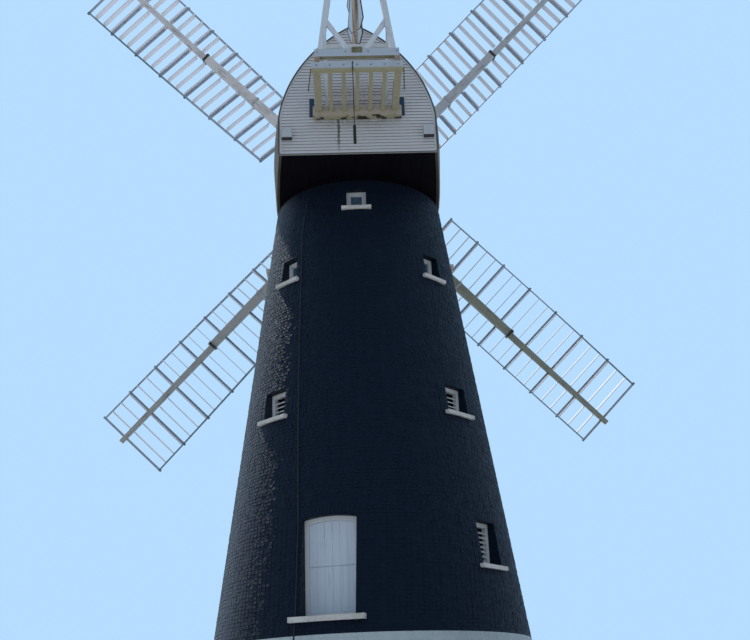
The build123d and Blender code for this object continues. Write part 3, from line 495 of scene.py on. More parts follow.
def makeBareTimber(name, pale, dark, moss, mossAmount, rotation=(0, 0, 0), specular=0.2):
    # Weathered structural timber with moss or algae
    paint, coords, rings, cracks, mask, fine = newWood(name, 0.78, specular, rotation, 11, 2.4, mossAmount)
    base = coat(dark, rangeNode(rings, 0.32, 0.66), pale)
    base = coat(base, mask, moss, 0.75)
    base = coat(base, cracks, shaded(dark, 0.4), 0.6)
    return dress(paint, base, rings, 0.005, 0.8)


# The windshaft's line, and marks on the sails: the height above which sunlight is painted on, off the whip, at the
# outer lath and along the stock
windshaftLine = {"hub": Vector((0, -3.408, 15.455)), "tilt": 13.1}
sailMarks = {"litAbove": (14.5, 16.8), "whip": (0.16, 0.18), "lath": (1.285, 1.295), "clamps": (5.5, 5.6)}


def makeSailTimber(name, angle, upper, lower):
    # Whip and stock are painted paler above a height, as painted sunlight on their upper parts; the bars and laths
    # beside them are blue-grey
    tilt, turn = math.radians(windshaftLine["tilt"]), math.radians(angle)
    across = Vector((-math.sin(turn), math.cos(turn) * math.sin(tilt), math.cos(turn) * math.cos(tilt)))
    rotation = (windshaftLine["tilt"], angle if angle < 90 else angle - 180, 0)
    paint, coords, rings, cracks, mask, fine = newWood(name, 0.6, 0.25, rotation, 18, 1.9, 0.46)
    # Painted sunlight: the upper colour above the height
    base = coat(lower, rangeNode(axes(coords)[2], *sailMarks["litAbove"]), upper)
    aside = measured("DOT_PRODUCT", coords, across)
    aside = mathNode("ABSOLUTE", mathNode("SUBTRACT", aside, across.dot(windshaftLine["hub"])))
    base = coat(base, rangeNode(aside, *sailMarks["whip"]), (0.34, 0.41, 0.52))
    base = coat(base, rangeNode(aside, *sailMarks["lath"]), (0.16, 0.23, 0.3))
    base = coat(base, mask, mixColour(0.45, base, (0.1, 0.11, 0.09)), 0.85)
    base = coat(base, cracks, (0.12, 0.12, 0.11), 0.7)
    return dress(paint, base, rings, 0.003, 0.6, rangeNode(fine, 0.3, 0.7, 0.5, 0.72))


def makeClampIron():
    # The outermost clamps are black; the others are painted over with the stock
    paint, coords = newPaint("clampIron", 0.55, 0.3)
    mask, fine = grime(coords, 6, 0.42)
    painted = coat((0.4, 0.43, 0.47), mask, (0.2, 0.17, 0.14))
    black = coat((0.03, 0.032, 0.036), mask, (0.1, 0.05, 0.035))
    outermost = rangeNode(measured("DISTANCE", coords, windshaftLine["hub"]), *sailMarks["clamps"])
    return dress(paint, coat(painted, outermost, black), fine, 0.002, 0.6)


def makeIron(name, colour, rust, rustAmount, roughness=0.5):
    # Painted iron that rusts through in spots
    paint, coords = newPaint(name, roughness, 0.35)
    mask, fine = grime(coords, 6, rustAmount)
    rough = rangeNode(mask, 0, 1, roughness, 0.85)
    return dress(paint, coat(colour, mask, rust), fine, 0.002, 0.6, rough)


def makeGlass():
    paint, coords = newPaint("windowGlass", 0.08, 0.5)
    mask, fine = grime(coords, 7, 0.42)
    base = coat((0.05, 0.1, 0.17), mask, (0.16, 0.2, 0.24))
    rough = rangeNode(fine, 0.3, 0.8, 0.05, 0.25)
    return dress(paint, base, noiseNode(coords, 5, 2), 0.004, 0.4, rough)


paving = {"Scale": 1, "Brick Width": 0.225, "Row Height": 0.112, "Mortar Size": 0.006}


def makeBrick(name, bright, deep, mortar):
    # Plain fired brick paving with mortar joints, seen indoors
    paint, coords = newPaint(name, 0.85, 0.15)
    colours = {"Color1": bright, "Color2": deep, "Mortar": mortar, "Vector": coords}
    bricks, joints = joined("TexBrick", {**colours, **paving}).node.outputs
    mask, fine = grime(coords, 3, 0.42)
    return dress(paint, coat(bricks, mask, mortar, 0.5), mathNode("SUBTRACT", fine, joints), 0.004, 0.7)


def makeRope():
    paint, coords = newPaint("blackRope", 0.8, 0.15)
    wave = {"Vector": coords, "Scale": 38, "Distortion": 0.6}
    strands = joined("TexWave", wave, "Fac", bands_direction="DIAGONAL")
    return dress(paint, coat((0.012, 0.012, 0.014), strands, (0.045, 0.045, 0.05)), strands, 0.003, 0.8)


level, alongY, upright = (0, 0, 0), (0, 0, 90), (0, 90, 0)
paints = {
    # The last colour of each tar is the painted sunlight on its sunny side
    "tar": makeTar("tarredBrick", (0.0038, 0.0064, 0.0148), (0.013, 0.019, 0.03), (0.085, 0.1, 0.125)),
    "tarJoints": makeTar("tarredMortar", (0.0036, 0.0062, 0.0142), (0.008, 0.012, 0.021), (0.052, 0.063, 0.08)),
    "base": makeMasonryPaint(),
    "floorBrick": makeBrick("floorBrick", (0.32, 0.13, 0.085), (0.24, 0.1, 0.07), (0.36, 0.33, 0.28)),
    "floorBoards": makeBareTimber("floorBoards", (0.34, 0.25, 0.16), (0.2, 0.14, 0.09), (0.16, 0.13, 0.1), 0.35),
    "joinery": makePaintedWood("whiteJoinery", (0.66, 0.7, 0.75), (0.46, 0.49, 0.5), upright),
    "doorBoards": makePaintedWood("whiteDoorBoards", (0.6, 0.7, 0.84), (0.46, 0.53, 0.62), upright, 0.38),
    "sills": makePaintedWood("whiteSills", (0.66, 0.67, 0.7), (0.36, 0.37, 0.33), level, 0.5),
    "glass": makeGlass(),
    # The under colour darkens the boards' lips: painted shade
    "capBoards": makePaintedWood(
        "whiteCapBoards", (0.58, 0.6, 0.63), (0.36, 0.38, 0.36), alongY, 0.38, under=(0.3, 0.32, 0.33)
    ),
    "capInside": makeBareTimber(
        "capLining", (0.1, 0.085, 0.065), (0.05, 0.04, 0.03), (0.04, 0.04, 0.03), 0.38, alongY
    ),
    "darkTimber": makeBareTimber(
        "darkTimber", (0.12, 0.1, 0.08), (0.05, 0.045, 0.04), (0.06, 0.06, 0.05), 0.4, alongY
    ),
    "stageBeams": makeStageBeams(),
    # Its underside colour is painted shade, tinted by light from the ground
    "topBeam": makePaintedWood(
        "topBeam", (0.48, 0.56, 0.68), (0.32, 0.35, 0.38), level, 0.4, under=(0.3, 0.28, 0.2)
    ),
    "stagePosts": makeBareTimber(
        "stagePosts", (0.46, 0.33, 0.24), (0.27, 0.19, 0.13), (0.3, 0.31, 0.3), 0.45, upright
    ),
    # Olive all over: algae on the white paint, and painted light from the ground on joists seen from below
    "stageJoists": makePaintedWood(
        "stageJoists", (0.38, 0.36, 0.27), (0.24, 0.23, 0.15), alongY, 0.48, under=(0.42, 0.4, 0.28)
    ),
    # The near-black under colour is painted shade under the sheer ends
    "sheers": makePaintedWood(
        "sheerEnds", (0.5, 0.55, 0.62), (0.3, 0.32, 0.32), alongY, 0.38, under=(0.05, 0.055, 0.06)
    ),
    "fanLegs": makePaintedWood("fanLegs", (0.66, 0.74, 0.85), (0.36, 0.35, 0.32), upright, 0.42),
    "saddle": makeIron("stainedSaddle", (0.2, 0.21, 0.13), (0.1, 0.05, 0.03), 0.47, 0.6),
    "iron": makeIron("blackenedIron", (0.03, 0.032, 0.036), (0.14, 0.065, 0.035), 0.42),
    "whiteIron": makeIron("whiteIron", (0.42, 0.44, 0.46), (0.16, 0.1, 0.07), 0.42),
    "paintedNuts": makeIron("paintedNuts", (0.34, 0.39, 0.46), (0.18, 0.14, 0.11), 0.44),
    "rope": makeRope(),
    # The first colour of each is the painted sunlight on the upper whip and stock
    "sailNear": makeSailTimber("sailTimberRising", 44.5, (0.66, 0.66, 0.7), (0.31, 0.33, 0.285)),
    "sailFar": makeSailTimber("sailTimberFalling", 134.5, (0.46, 0.5, 0.56), (0.42, 0.44, 0.45)),
    "clamps": makeClampIron(),
    "shutters": makePaintedWood("shutterPaint", (0.76, 0.8, 0.9), (0.56, 0.6, 0.64), (13.1, 44.5, 0), 0.36),
    "fanBoards": makeFanBoards(),
    # Dark lead for the ridge; the same dark paints the shadow strip under the rear roof edge
    "leadAndEdgeShadow": makeIron("weatheredLeadAndEdgeShadow", (0.055, 0.06, 0.068), (0.11, 0.11, 0.11), 0.45, 0.6),
    "conductor": makeIron("agedCopperStrip", (0.004, 0.006, 0.012), (0.014, 0.014, 0.017), 0.45, 0.6),
    # Near black under the cap: dark timber, darkened further as painted shade
    "soffit": makeBareTimber(
        "darkAndShadedSoffit", (0.005, 0.005, 0.009), (0.003, 0.003, 0.006), (0.004, 0.004, 0.006), 0.4, alongY, 0.04
    ),
    "gableBoards": makeGableBoards(),
    "backboard": makeBackboard(),
}
print("finishes made", len(paints))

nodePaints = {
    "floorBrick": ["ground_floor"],
    "base": ["base_wall_odd_bays", "base_wall_even_bays"],
    "tarJoints": ["tower_wall_odd_bays", "tower_wall_even_bays"],
    "floorBoards": ["upper_floors"],
    "joinery": ["louvred_windows", "casement_frames", "loading_door_frame", "entrance_door_frame"],
    "glass": ["casement_glass"],
    "sills": ["window_sills", "loading_door_sill"],
    "doorBoards": ["loading_door_leaves", "entrance_door"],
    "soffit": ["curb_ring", "cap_soffit"],
    "capInside": ["cap_left_side", "cap_right_side"],
    "capBoards": ["cap_rear_gable", "cap_front_gable", "rear_bargeboards"],
    "darkTimber": ["cap_cross_beams", "neck_bearing_frame", "tail_bearing_frame"],
    "sheers": ["cap_sheers"],
    "backboard": ["stage_backboard"],
    "stageBeams": ["stage_beams"],
    "stageJoists": ["stage_joists"],
    "stagePosts": ["stage_posts"],
    "topBeam": ["stage_top_beam"],
    "fanLegs": ["fan_legs", "fan_leg_braces"],
    "saddle": ["fan_drive_saddle"],
    "iron": ["stage_stay_rods", "windshaft", "canister", "striking_spider", "striking_links", "fan_spindle"],
    "whiteIron": ["shutter_rods"],
    "rope": ["brake_rope_toggle"],
    "sailNear": ["stock_front", "sail_frame_1", "sail_frame_3"],
    "sailFar": ["stock_rear", "sail_frame_2", "sail_frame_4"],
    "clamps": ["stock_clamps"],
    "shutters": [f"sail_shutters_{number}" for number in range(1, 5)],
    "fanBoards": ["fan_vanes"],
}


def paintNodes():
    bare = set(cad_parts)
    for key, names in nodePaints.items():
        for name in names:
            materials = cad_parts[name].data.materials
            materials.clear()
            materials.append(paints[key])
            bare.discard(name)
    print("carried-over nodes painted", len(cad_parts) - len(bare), "left", sorted(bare))


paintNodes()
brakeRope.data.materials.append(paints["rope"])


# One small solid is modelled once, then copied to many places in one joined mesh
def unitBlock():
    # A cube from 0 to 1 each way
    bpy.ops.mesh.primitive_cube_add(size=1, location=(0.5, 0.5, 0.5))
    bpy.ops.object.transform_apply()
    return bpy.context.active_object


def patternOf(block):
    # The corners and faces of a modelled solid, which is then put away
    corners = [vertex.co.copy() for vertex in block.data.vertices]
    faces = [tuple(face.vertices) for face in block.data.polygons]
    bpy.data.objects.remove(block)
    return corners, faces


def pickFaces(block, side):
    # Goes into edit mode with only the faces that look up, for 1, or down, for -1
    bpy.ops.object.mode_set(mode="EDIT")
    bpy.ops.mesh.select_all(action="DESELECT")
    bpy.ops.object.mode_set(mode="OBJECT")
    for face in block.data.polygons:
        face.select = face.normal.z * side > 0.9
    bpy.ops.object.mode_set(mode="EDIT")


def modelBrick(narrowing):
    # Its front at z = 1 is drawn in, its back is open
    block = unitBlock()
    pickFaces(block, 1)
    bpy.ops.transform.resize(value=(narrowing, narrowing, 1), center_override=(0.5, 0.5, 1))
    pickFaces(block, -1)
    bpy.ops.mesh.delete(type="FACE")
    bpy.ops.object.mode_set(mode="OBJECT")
    return patternOf(block)


def modelBoard(lengths=1, widths=1):
    # A closed board, cut into short lengths and widths so that it can follow a curve
    block = unitBlock()
    bpy.ops.object.mode_set(mode="EDIT")
    for normal, pieces in (((1, 0, 0), lengths), ((0, 1, 0), widths)):
        for cut in range(1, pieces):
            bpy.ops.mesh.select_all(action="SELECT")
            bpy.ops.mesh.bisect(plane_co=[cut / pieces * part for part in normal], plane_no=normal)
    bpy.ops.object.mode_set(mode="OBJECT")
    return patternOf(block)


def faceOutwards(piece):
    bpy.ops.object.select_all(action="DESELECT")
    piece.select_set(True)
    bpy.context.view_layer.objects.active = piece
    bpy.ops.object.mode_set(mode="EDIT")
    bpy.ops.mesh.select_all(action="SELECT")
    bpy.ops.mesh.normals_make_consistent(inside=False)
    bpy.ops.object.mode_set(mode="OBJECT")
    piece.select_set(False)


def joinCopies(name, pattern, places, body, paint):
    # Each place is a function that carries the pattern's corners to their own spot
    corners, faces = pattern
    points, polygons = [], []
    for place in places:
        start = len(points)
        points.extend(place(corner) for corner in corners)
        polygons.extend(tuple(start + index for index in face) for face in faces)
    mesh = bpy.data.meshes.new(name)
    mesh.from_pydata(points, [], polygons)
    mesh.validate()
    piece = bpy.data.objects.new(name, mesh)
    bpy.context.scene.collection.objects.link(piece)
    mesh.materials.append(paints[paint])
    faceOutwards(piece)
    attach(piece, body)
    print(name, len(mesh.polygons))


headerBrick = modelBrick(0.86)
plainBoard = modelBrick(0.97)
sashBlock = modelBrick(0.9)
boardBlock = modelBoard()

# The tower and its openings; azimuths in degrees from +Y towards +X
tower = {"baseRadius": 3.756, "topRadius": 1.998, "height": 13.0, "bandHeight": 2.81, "split": 7.31}
door = {"azimuth": 15.5, "width": 1.1}
openings = [
    {"azimuth": azimuth, "sill": sill, "width": width, "head": sill + height, "panes": panes}
    for azimuths, sill, width, height, panes in (
        ((-50, 130), 4.13, 0.66, 0.89, 0),
        ((46, -46, 134, -134), 7.36, 0.64, 0.61, 0),
        ((46, -45, 134, -135), 10.65, 0.47, 0.55, 2),
        ((2, 182), 12.27, 0.45, 0.48, 1),
        ((90, -90), 11.56, 0.43, 0.42, 0),
        ((door["azimuth"],), 3.15, door["width"], 1.93, 0),
        ((door["azimuth"],), 0.15, door["width"], 2.08, 0),
    )
    for azimuth in azimuths
]


def towerRadius(z):
    return tower["baseRadius"] + (tower["topRadius"] - tower["baseRadius"]) * z / tower["height"]


def onTower(azimuth, z, proud):
    angle = math.radians(azimuth)
    reach = towerRadius(z) + proud
    return (math.sin(angle) * reach, math.cos(angle) * reach, z)


def onFace(azimuth, distance, across, z):
    # A point on a flat face that looks out at an azimuth, measured square across from its middle
    angle = math.radians(azimuth)
    out = Vector((math.sin(angle), math.cos(angle), 0))
    return out * distance + Vector((-out.y, out.x, 0)) * across + Vector((0, 0, z))


# Brickwork: headers laid round the tapered tower, each a little proud or shy of the next
brickwork = {
    "header": 0.118,
    "course": 0.075,
    "joint": 0.009,
    "proud": 0.006,
    "buried": 0.02,
    "leastCut": 0.02,
    "uneven": (0.004, 0.0035, 0.003, 0.002),
}


def courseSpans(low, high, luck):
    # Runs of brick in one course between the openings that it meets
    radius = towerRadius((low + high) / 2)
    met = []
    for place in openings:
        if place["sill"] < high and place["head"] > low:
            half = math.degrees(math.asin(place["width"] / 2 / radius))
            met.append((place["azimuth"] % 360 - half, place["azimuth"] % 360 + half, place))
    met.sort(key=lambda item: item[0])
    if not met:
        start = luck.uniform(0, 5)
        return [(start, start + 360, low, high)]
    spans = []
    for index, (start, end, place) in enumerate(met):
        following = met[(index + 1) % len(met)][0]
        spans.append((end, following if following > end else following + 360, low, high))
        if high - place["head"] > brickwork["leastCut"]:
            spans.append((start, end, place["head"], high))
        if place["sill"] - low > brickwork["leastCut"]:
            spans.append((start, end, low, place["sill"]))
    return spans


def brickPlace(start, step, low, high, luck):
    halfJoint = brickwork["joint"] / 2
    turnJoint = math.degrees(halfJoint / towerRadius(low))
    proud, leanAcross, leanUp, drop = [luck.uniform(-1, 1) * most for most in brickwork["uneven"]]
    proud += brickwork["proud"]

    def place(corner):
        azimuth = start + turnJoint + corner.x * (step - 2 * turnJoint)
        z = low + halfJoint + drop + corner.y * (high - low - 2 * halfJoint)
        front = proud + (corner.x - 0.5) * leanAcross + (corner.y - 0.5) * leanUp
        return onTower(azimuth, z, front if corner.z > 0.5 else -brickwork["buried"])

    return place


def brickPlaces(bottom, top, seed):
    luck = random.Random(seed)
    places = []
    courses = round((top - bottom) / brickwork["course"])
    rise = (top - bottom) / courses
    for course in range(courses):
        low = bottom + course * rise
        for start, end, spanLow, spanHigh in courseSpans(low, low + rise, luck):
            count = max(1, round(math.radians(end - start) * towerRadius(low) / brickwork["header"]))
            step = (end - start) / count
            places.extend(brickPlace(start + index * step, step, spanLow, spanHigh, luck) for index in range(count))
    return places


for seed, (name, bottom, top, slot, paint) in enumerate(
    (
        ("base_bricks", 0, tower["bandHeight"], "white_brick", "base"),
        ("tower_bricks_lower", tower["bandHeight"], tower["split"], "tarred_brick", "tar"),
        ("tower_bricks_upper", tower["split"], tower["height"], "tarred_brick", "tar"),
    ),
    start=1,
):
    joinCopies(name, headerBrick, brickPlaces(bottom, top, seed), "tower", paint)
print("brickwork laid")

# Door heads: a ring of bricks on edge over each arched doorway
doorArches = {"ringDepth": 0.215, "voussoirs": 15, "filled": 0.92, "gap": 0.004, "proud": 0.011}
doorHeads = [
    {"name": "loading_door_arch", "spring": 5.02, "rise": 0.06, "slot": "tarred_brick", "paint": "tar"},
    {"name": "entrance_door_arch", "spring": 2.14, "rise": 0.09, "slot": "white_brick", "paint": "base"},
]


def voussoir(head, index, corner):
    half = door["width"] / 2
    radius = (half**2 + head["rise"] ** 2) / (2 * head["rise"])
    spread = math.asin(half / radius)
    step = 2 * spread / doorArches["voussoirs"]
    joint = (1 - doorArches["filled"]) / 2
    turn = -spread + (index + joint + doorArches["filled"] * corner.x) * step
    reach = radius + doorArches["gap"] + corner.y * doorArches["ringDepth"]
    proud = doorArches["proud"] if corner.z > 0.5 else -brickwork["buried"]
    across = -reach * math.sin(turn)
    z = head["spring"] + head["rise"] - radius + reach * math.cos(turn)
    return onFace(door["azimuth"], math.sqrt((towerRadius(z) + proud) ** 2 - across**2), across, z)


for head in doorHeads:
    ring = [partial(voussoir, head, index) for index in range(doorArches["voussoirs"])]
    joinCopies(head["name"], headerBrick, ring, "tower", head["paint"])

# Door boards: upright boards with open joints, on the faces of the leaves
doorSides = {"side": 0.462, "boards": 6, "joint": 0.005, "thick": 0.008, "buried": 0.002}
doorLeaves = {
    "loading_door_boards": [
        {"low": 3.239, "high": 4.109, "bow": 0, "front": 2.8544},
        {"low": 4.121, "high": 4.933, "bow": 0.06, "front": 2.8544},
    ],
    "entrance_door_boards": [{"low": 0.239, "high": 2.052, "bow": 0.09, "front": 3.2398}],
}


def leafBoard(leaf, index, corner):
    side, joint = doorSides["side"], doorSides["joint"]
    step = 2 * side / doorSides["boards"]
    across = -side + index * step + joint / 2 + corner.x * (step - joint)
    top = leaf["high"] + leaf["bow"] * (1 - (across / side) ** 2)
    depth = doorSides["thick"] if corner.z > 0.5 else -doorSides["buried"]
    return onFace(door["azimuth"], leaf["front"] + depth, -across, leaf["low"] + corner.y * (top - leaf["low"]))


for name, leaves in doorLeaves.items():
    boards = [partial(leafBoard, leaf, index) for leaf in leaves for index in range(doorSides["boards"])]
    joinCopies(name, plainBoard, boards, "tower", "doorBoards")

# Sashes: a thin inner frame round each pane, and an upright bar where there are two panes
sash = {"frame": 0.085, "rail": 0.014, "bar": 0.02, "deep": 0.02}
pane = {"reveal": 0.17, "frameMiddle": 0.045, "gap": 0.0032}


def sashStrip(window, left, right, bottom, top, corner):
    reach = towerRadius(window["head"]) - pane["reveal"] - pane["frameMiddle"] + pane["gap"]
    across = left + corner.x * (right - left)
    return onFace(window["azimuth"], reach + sash["deep"] * corner.z, -across, bottom + corner.y * (top - bottom))


def sashStrips(window):
    half, rail = window["width"] / 2 - sash["frame"], sash["rail"]
    low, high = window["sill"] + sash["frame"], window["head"] - sash["frame"]
    edges = [
        (-half, -half + rail, low, high),
        (half - rail, half, low, high),
        (-half + rail, half - rail, low, low + rail),
        (-half + rail, half - rail, high - rail, high),
    ]
    if window["panes"] == 2:
        edges.append((-sash["bar"] / 2, sash["bar"] / 2, low + rail, high - rail))
    return [partial(sashStrip, window, *edge) for edge in edges]


allSashes = [strip for window in openings if window["panes"] for strip in sashStrips(window)]
joinCopies("casement_sashes", sashBlock, allSashes, "tower", "joinery")
print("doors and windows dressed")

# Lightning conductor: a flat strip that runs down the tower in clips, by azimuth and height
conductor = {"wide": 0.03, "thick": 0.006, "proud": 0.011, "lengths": 52, "clips": 13}
conductorRoute = [(26.4, 0.02), (26.6, 3.5), (27.5, 5.0), (34.6, 10.0), (37.6, 11.9), (34.5, 13.0)]
clip = {"wide": 2.4 * conductor["wide"], "high": 0.035, "proud": 0.004, "thick": 0.018}


def acrossAt(line, z):
    # How far a line of points lies across at a height; past its top that is nothing
    for (lowX, lowZ), (highX, highZ) in zip(line, line[1:]):
        if lowZ <= z <= highZ:
            return lowX + (highX - lowX) * (z - lowZ) / (highZ - lowZ)
    return line[0][0] if z < line[0][1] else 0.0


def conductorAt(share):
    foot, top = conductorRoute[0][1], conductorRoute[-1][1]
    z = top + share * (foot - top)
    return acrossAt(conductorRoute, z), z


def conductorStrip(corner):
    azimuth, z = conductorAt(corner.x)
    shift = math.degrees((corner.y - 0.5) * conductor["wide"] / towerRadius(z))
    return onTower(azimuth + shift, z, conductor["proud"] + conductor["thick"] * corner.z)


def conductorClip(share, corner):
    azimuth, z = conductorAt(share)
    shift = math.degrees((corner.y - 0.5) * clip["wide"] / towerRadius(z))
    return onTower(azimuth + shift, z + (corner.x - 0.5) * clip["high"], clip["proud"] + clip["thick"] * corner.z)


clips = [partial(conductorClip, (index + 0.5) / conductor["clips"]) for index in range(conductor["clips"])]
joinCopies("lightning_conductor", modelBoard(conductor["lengths"]), [conductorStrip], "tower", "conductor")
joinCopies("conductor_clips", sashBlock, clips, "tower", "conductor")

# Cap boarding: lapped boards on the gables and along the bowed sides; half widths, then heights
cap = {
    "rear": 3.0,
    "front": -2.2,
    "wall": 0.06,
    "midHalf": 1.995,
    "narrowing": 1.5,
    "rearHalf": 1.77,
    "frontHalf": 1.79,
    "flare": 0.06,
    "foot": 13.138,
    "eaves": 14.1,
    "midRidge": 17.15,
    "rearRidge": 16.55,
    "frontRidge": 16.85,
    "flankAcross": 0.787,
    "flankUp": 0.449,
    "steps": 24,
}
lapping = {
    "pitch": 0.0793,
    "lap": 0.01,
    "lip": 0.024,
    "thin": 0.007,
    "buried": 0.002,
    "ridgeGap": 0.01,
    "brokenFrom": 1.2,
    "breakWithin": 0.6,
    "seed": 11,
}
hatch = {"z": 15.174, "radius": 0.315}


def capHalf(y):
    end, half = (cap["rear"], cap["rearHalf"]) if y > 0 else (cap["front"], cap["frontHalf"])
    return cap["midHalf"] - (cap["midHalf"] - half) * abs(y / end) ** cap["narrowing"]


def circleThrough(first, second, third):
    ax, ay = second[0] - first[0], second[1] - first[1]
    bx, by = third[0] - first[0], third[1] - first[1]
    double = 2 * (ax * by - ay * bx)
    ux = (by * (ax * ax + ay * ay) - ay * (bx * bx + by * by)) / double
    uy = (ax * (bx * bx + by * by) - bx * (ax * ax + ay * ay)) / double
    return (first[0] + ux, first[1] + uy), math.hypot(ux, uy)


def capOutline(y):
    # Half a section of the cap as points from foot to ridge
    y = max(min(y, cap["rear"]), cap["front"])
    end, ridge = (cap["rear"], cap["rearRidge"]) if y > 0 else (cap["front"], cap["frontRidge"])
    top = cap["midRidge"] - (cap["midRidge"] - ridge) * (y / end) ** 2
    eaves = capHalf(y) + cap["flare"] * (1 - (y / end) ** 2)
    flank = (cap["flankAcross"] * eaves, cap["eaves"] + cap["flankUp"] * (top - cap["eaves"]))
    (x, z), radius = circleThrough((eaves, cap["eaves"]), flank, (0, top))
    start, stop = math.atan2(cap["eaves"] - z, eaves - x), math.atan2(top - z, -x)
    turns = [start + (stop - start) * step / cap["steps"] for step in range(cap["steps"] + 1)]
    arc = [(x + radius * math.cos(turn), z + radius * math.sin(turn)) for turn in turns]
    return [(capHalf(y), cap["foot"]), *arc]


def lappedBoard(halfWidth, ends, low, high, face, outwards, raised, corner):
    # Its ends are shares of the half width at a height; its lower edge stands out
    z = low + corner.y * (high - low)
    x = halfWidth(z) * (ends[0] + corner.x * (ends[1] - ends[0]))
    proud = raised + lapping["lip"] + (lapping["thin"] - lapping["lip"]) * corner.y
    return (x, face + outwards * (proud if corner.z > 0.5 else -lapping["buried"]), z)


def besideHatch(start, end, low, high, reach):
    # What is left of a board, in shares of its reach, beside the round hole of the windshaft
    under, over = low - hatch["z"], high - hatch["z"]
    nearest = min(abs(under), abs(over)) if under * over > 0 else 0
    if nearest >= hatch["radius"]:
        return [(start, end)]
    clear = math.sqrt(hatch["radius"] ** 2 - nearest**2) / reach
    left = [(start, min(end, -clear))] if start < -clear else []
    return left + ([(max(start, clear), end)] if end > clear else [])


def gableBoards(y, face, outwards, holed):
    outline = capOutline(y)
    luck = random.Random(lapping["seed"])
    top = outline[-1][1]
    boards = []
    for row in range(int((top - cap["foot"]) / lapping["pitch"])):
        low = cap["foot"] + row * lapping["pitch"]
        high = min(low + lapping["pitch"] + lapping["lap"], top - lapping["ridgeGap"])
        reach = acrossAt(outline, low)
        count = 2 if reach > lapping["brokenFrom"] else 0
        cuts = sorted(luck.uniform(-lapping["breakWithin"], lapping["breakWithin"]) for _ in range(count))
        for start, end in zip([-1, *cuts], [*cuts, 1]):
            for ends in besideHatch(start, end, low, high, reach) if holed else [(start, end)]:
                boards.append(partial(lappedBoard, partial(acrossAt, outline), ends, low, high, face, outwards, 0))
    return boards


rearRows = gableBoards(cap["rear"] - cap["wall"], cap["rear"], 1, False)
joinCopies("rear_gable_boards", boardBlock, rearRows, "cap", "gableBoards")
frontRows = gableBoards(cap["front"] + cap["wall"], cap["front"], -1, True)
joinCopies("front_gable_boards", boardBlock, frontRows, "cap", "capBoards")

# Facing over the middle of the backboard, behind the stage
backFacing = {"half": 0.965, "low": 14.07, "rows": 6, "thick": 0.03}


def facingBoard(row):
    low = backFacing["low"] + row * lapping["pitch"]
    high = low + lapping["pitch"] + lapping["lap"]
    return partial(
        lappedBoard, lambda z: backFacing["half"], (-1, 1), low, high, cap["rear"], 1, backFacing["thick"]
    )


facingRows = [facingBoard(row) for row in range(backFacing["rows"])]
joinCopies("stage_back_facing", boardBlock, facingRows, "cap", "gableBoards")

# Side boards run the length of the cap and narrow towards its ends
sideBoards = {
    "rows": 60,
    "lengths": 7,
    "rear": 3.03,
    "front": -2.215,
    "lip": 0.022,
    "thin": 0.01,
    "buried": 0.004,
    "overlap": 0.12,
    "halfJoint": 0.0015,
    "joints": (-1.2, -0.4, 0.5, 1.3, 2.1),
}
outlines = {}


def skinPoint(y, share, proud, side):
    # A point on the cap's side, at a share of the way from foot to ridge
    key = round(y, 3)
    if key not in outlines:
        points = capOutline(y)
        walked = [0.0]
        for near, far in zip(points, points[1:]):
            walked.append(walked[-1] + math.dist(near, far))
        outlines[key] = (points, walked)
    points, walked = outlines[key]
    target = min(max(share, 0), 1) * walked[-1]
    index = next((index for index in range(len(points) - 2) if walked[index + 1] >= target), len(points) - 2)
    part = (target - walked[index]) / (walked[index + 1] - walked[index])
    (nearX, nearZ), (farX, farZ) = points[index], points[index + 1]
    length = math.dist(points[index], points[index + 1])
    alongX, alongZ = (farX - nearX) / length, (farZ - nearZ) / length
    x = nearX + (farX - nearX) * part + alongZ * proud
    return (side * max(x, 0), y, nearZ + (farZ - nearZ) * part - alongX * proud)


def sideBoard(low, high, start, end, side, corner):
    across = corner.x if side < 0 else 1 - corner.x
    share = low + corner.y * (high - low)
    proud = sideBoards["lip"] + (sideBoards["thin"] - sideBoards["lip"]) * corner.y
    return skinPoint(
        start + across * (end - start), share, proud if corner.z > 0.5 else -sideBoards["buried"], side
    )


def sideRows(side):
    luck = random.Random(lapping["seed"] + side)
    rows, half = sideBoards["rows"], sideBoards["halfJoint"]
    boards = []
    for row in range(rows):
        joint = luck.choice(sideBoards["joints"])
        for start, end in ((sideBoards["front"], joint - half), (joint + half, sideBoards["rear"])):
            high = (row + 1 + sideBoards["overlap"]) / rows
            boards.append(partial(sideBoard, row / rows, high, start, end, side))
    return boards


sideBlock = modelBoard(sideBoards["lengths"])
for name, side in (("cap_left_boards", 1), ("cap_right_boards", -1)):
    joinCopies(name, sideBlock, sideRows(side), "cap", "capBoards")

# Ridge capping, and the dark strip along the rear roof edge, a painted shadow under the roof's projecting edge
ridge = {"half": 0.13, "thick": 0.03, "raised": 0.02, "dome": 0.075, "inset": 0.01, "lengths": 24, "widths": 6}
roofEdge = {"rear": 3.045, "deep": 0.035, "thick": 0.03, "sunk": 0.012, "lengths": 40}


def ridgePlace(corner):
    rear, front = sideBoards["rear"] - ridge["inset"], sideBoards["front"] + ridge["inset"]
    y = rear + corner.x * (front - rear)
    across = (corner.y - 0.5) * 2
    z = capOutline(y)[-1][1] + ridge["raised"] - ridge["dome"] * across**2 + ridge["thick"] * corner.z
    return (across * ridge["half"], y, z)


def edgePlace(side, corner):
    share = corner.x if side < 0 else 1 - corner.x
    y = roofEdge["rear"] - roofEdge["deep"] * (1 - corner.y)
    return skinPoint(y, share, -roofEdge["sunk"] + roofEdge["thick"] * corner.z, side)


ridgeBlock = modelBoard(ridge["lengths"], ridge["widths"])
joinCopies("ridge_capping", ridgeBlock, [ridgePlace], "cap", "leadAndEdgeShadow")
roofEdges = [partial(edgePlace, side) for side in (1, -1)]
joinCopies("rear_roof_edges", modelBoard(roofEdge["lengths"]), roofEdges, "cap", "leadAndEdgeShadow")
print("cap boarded")

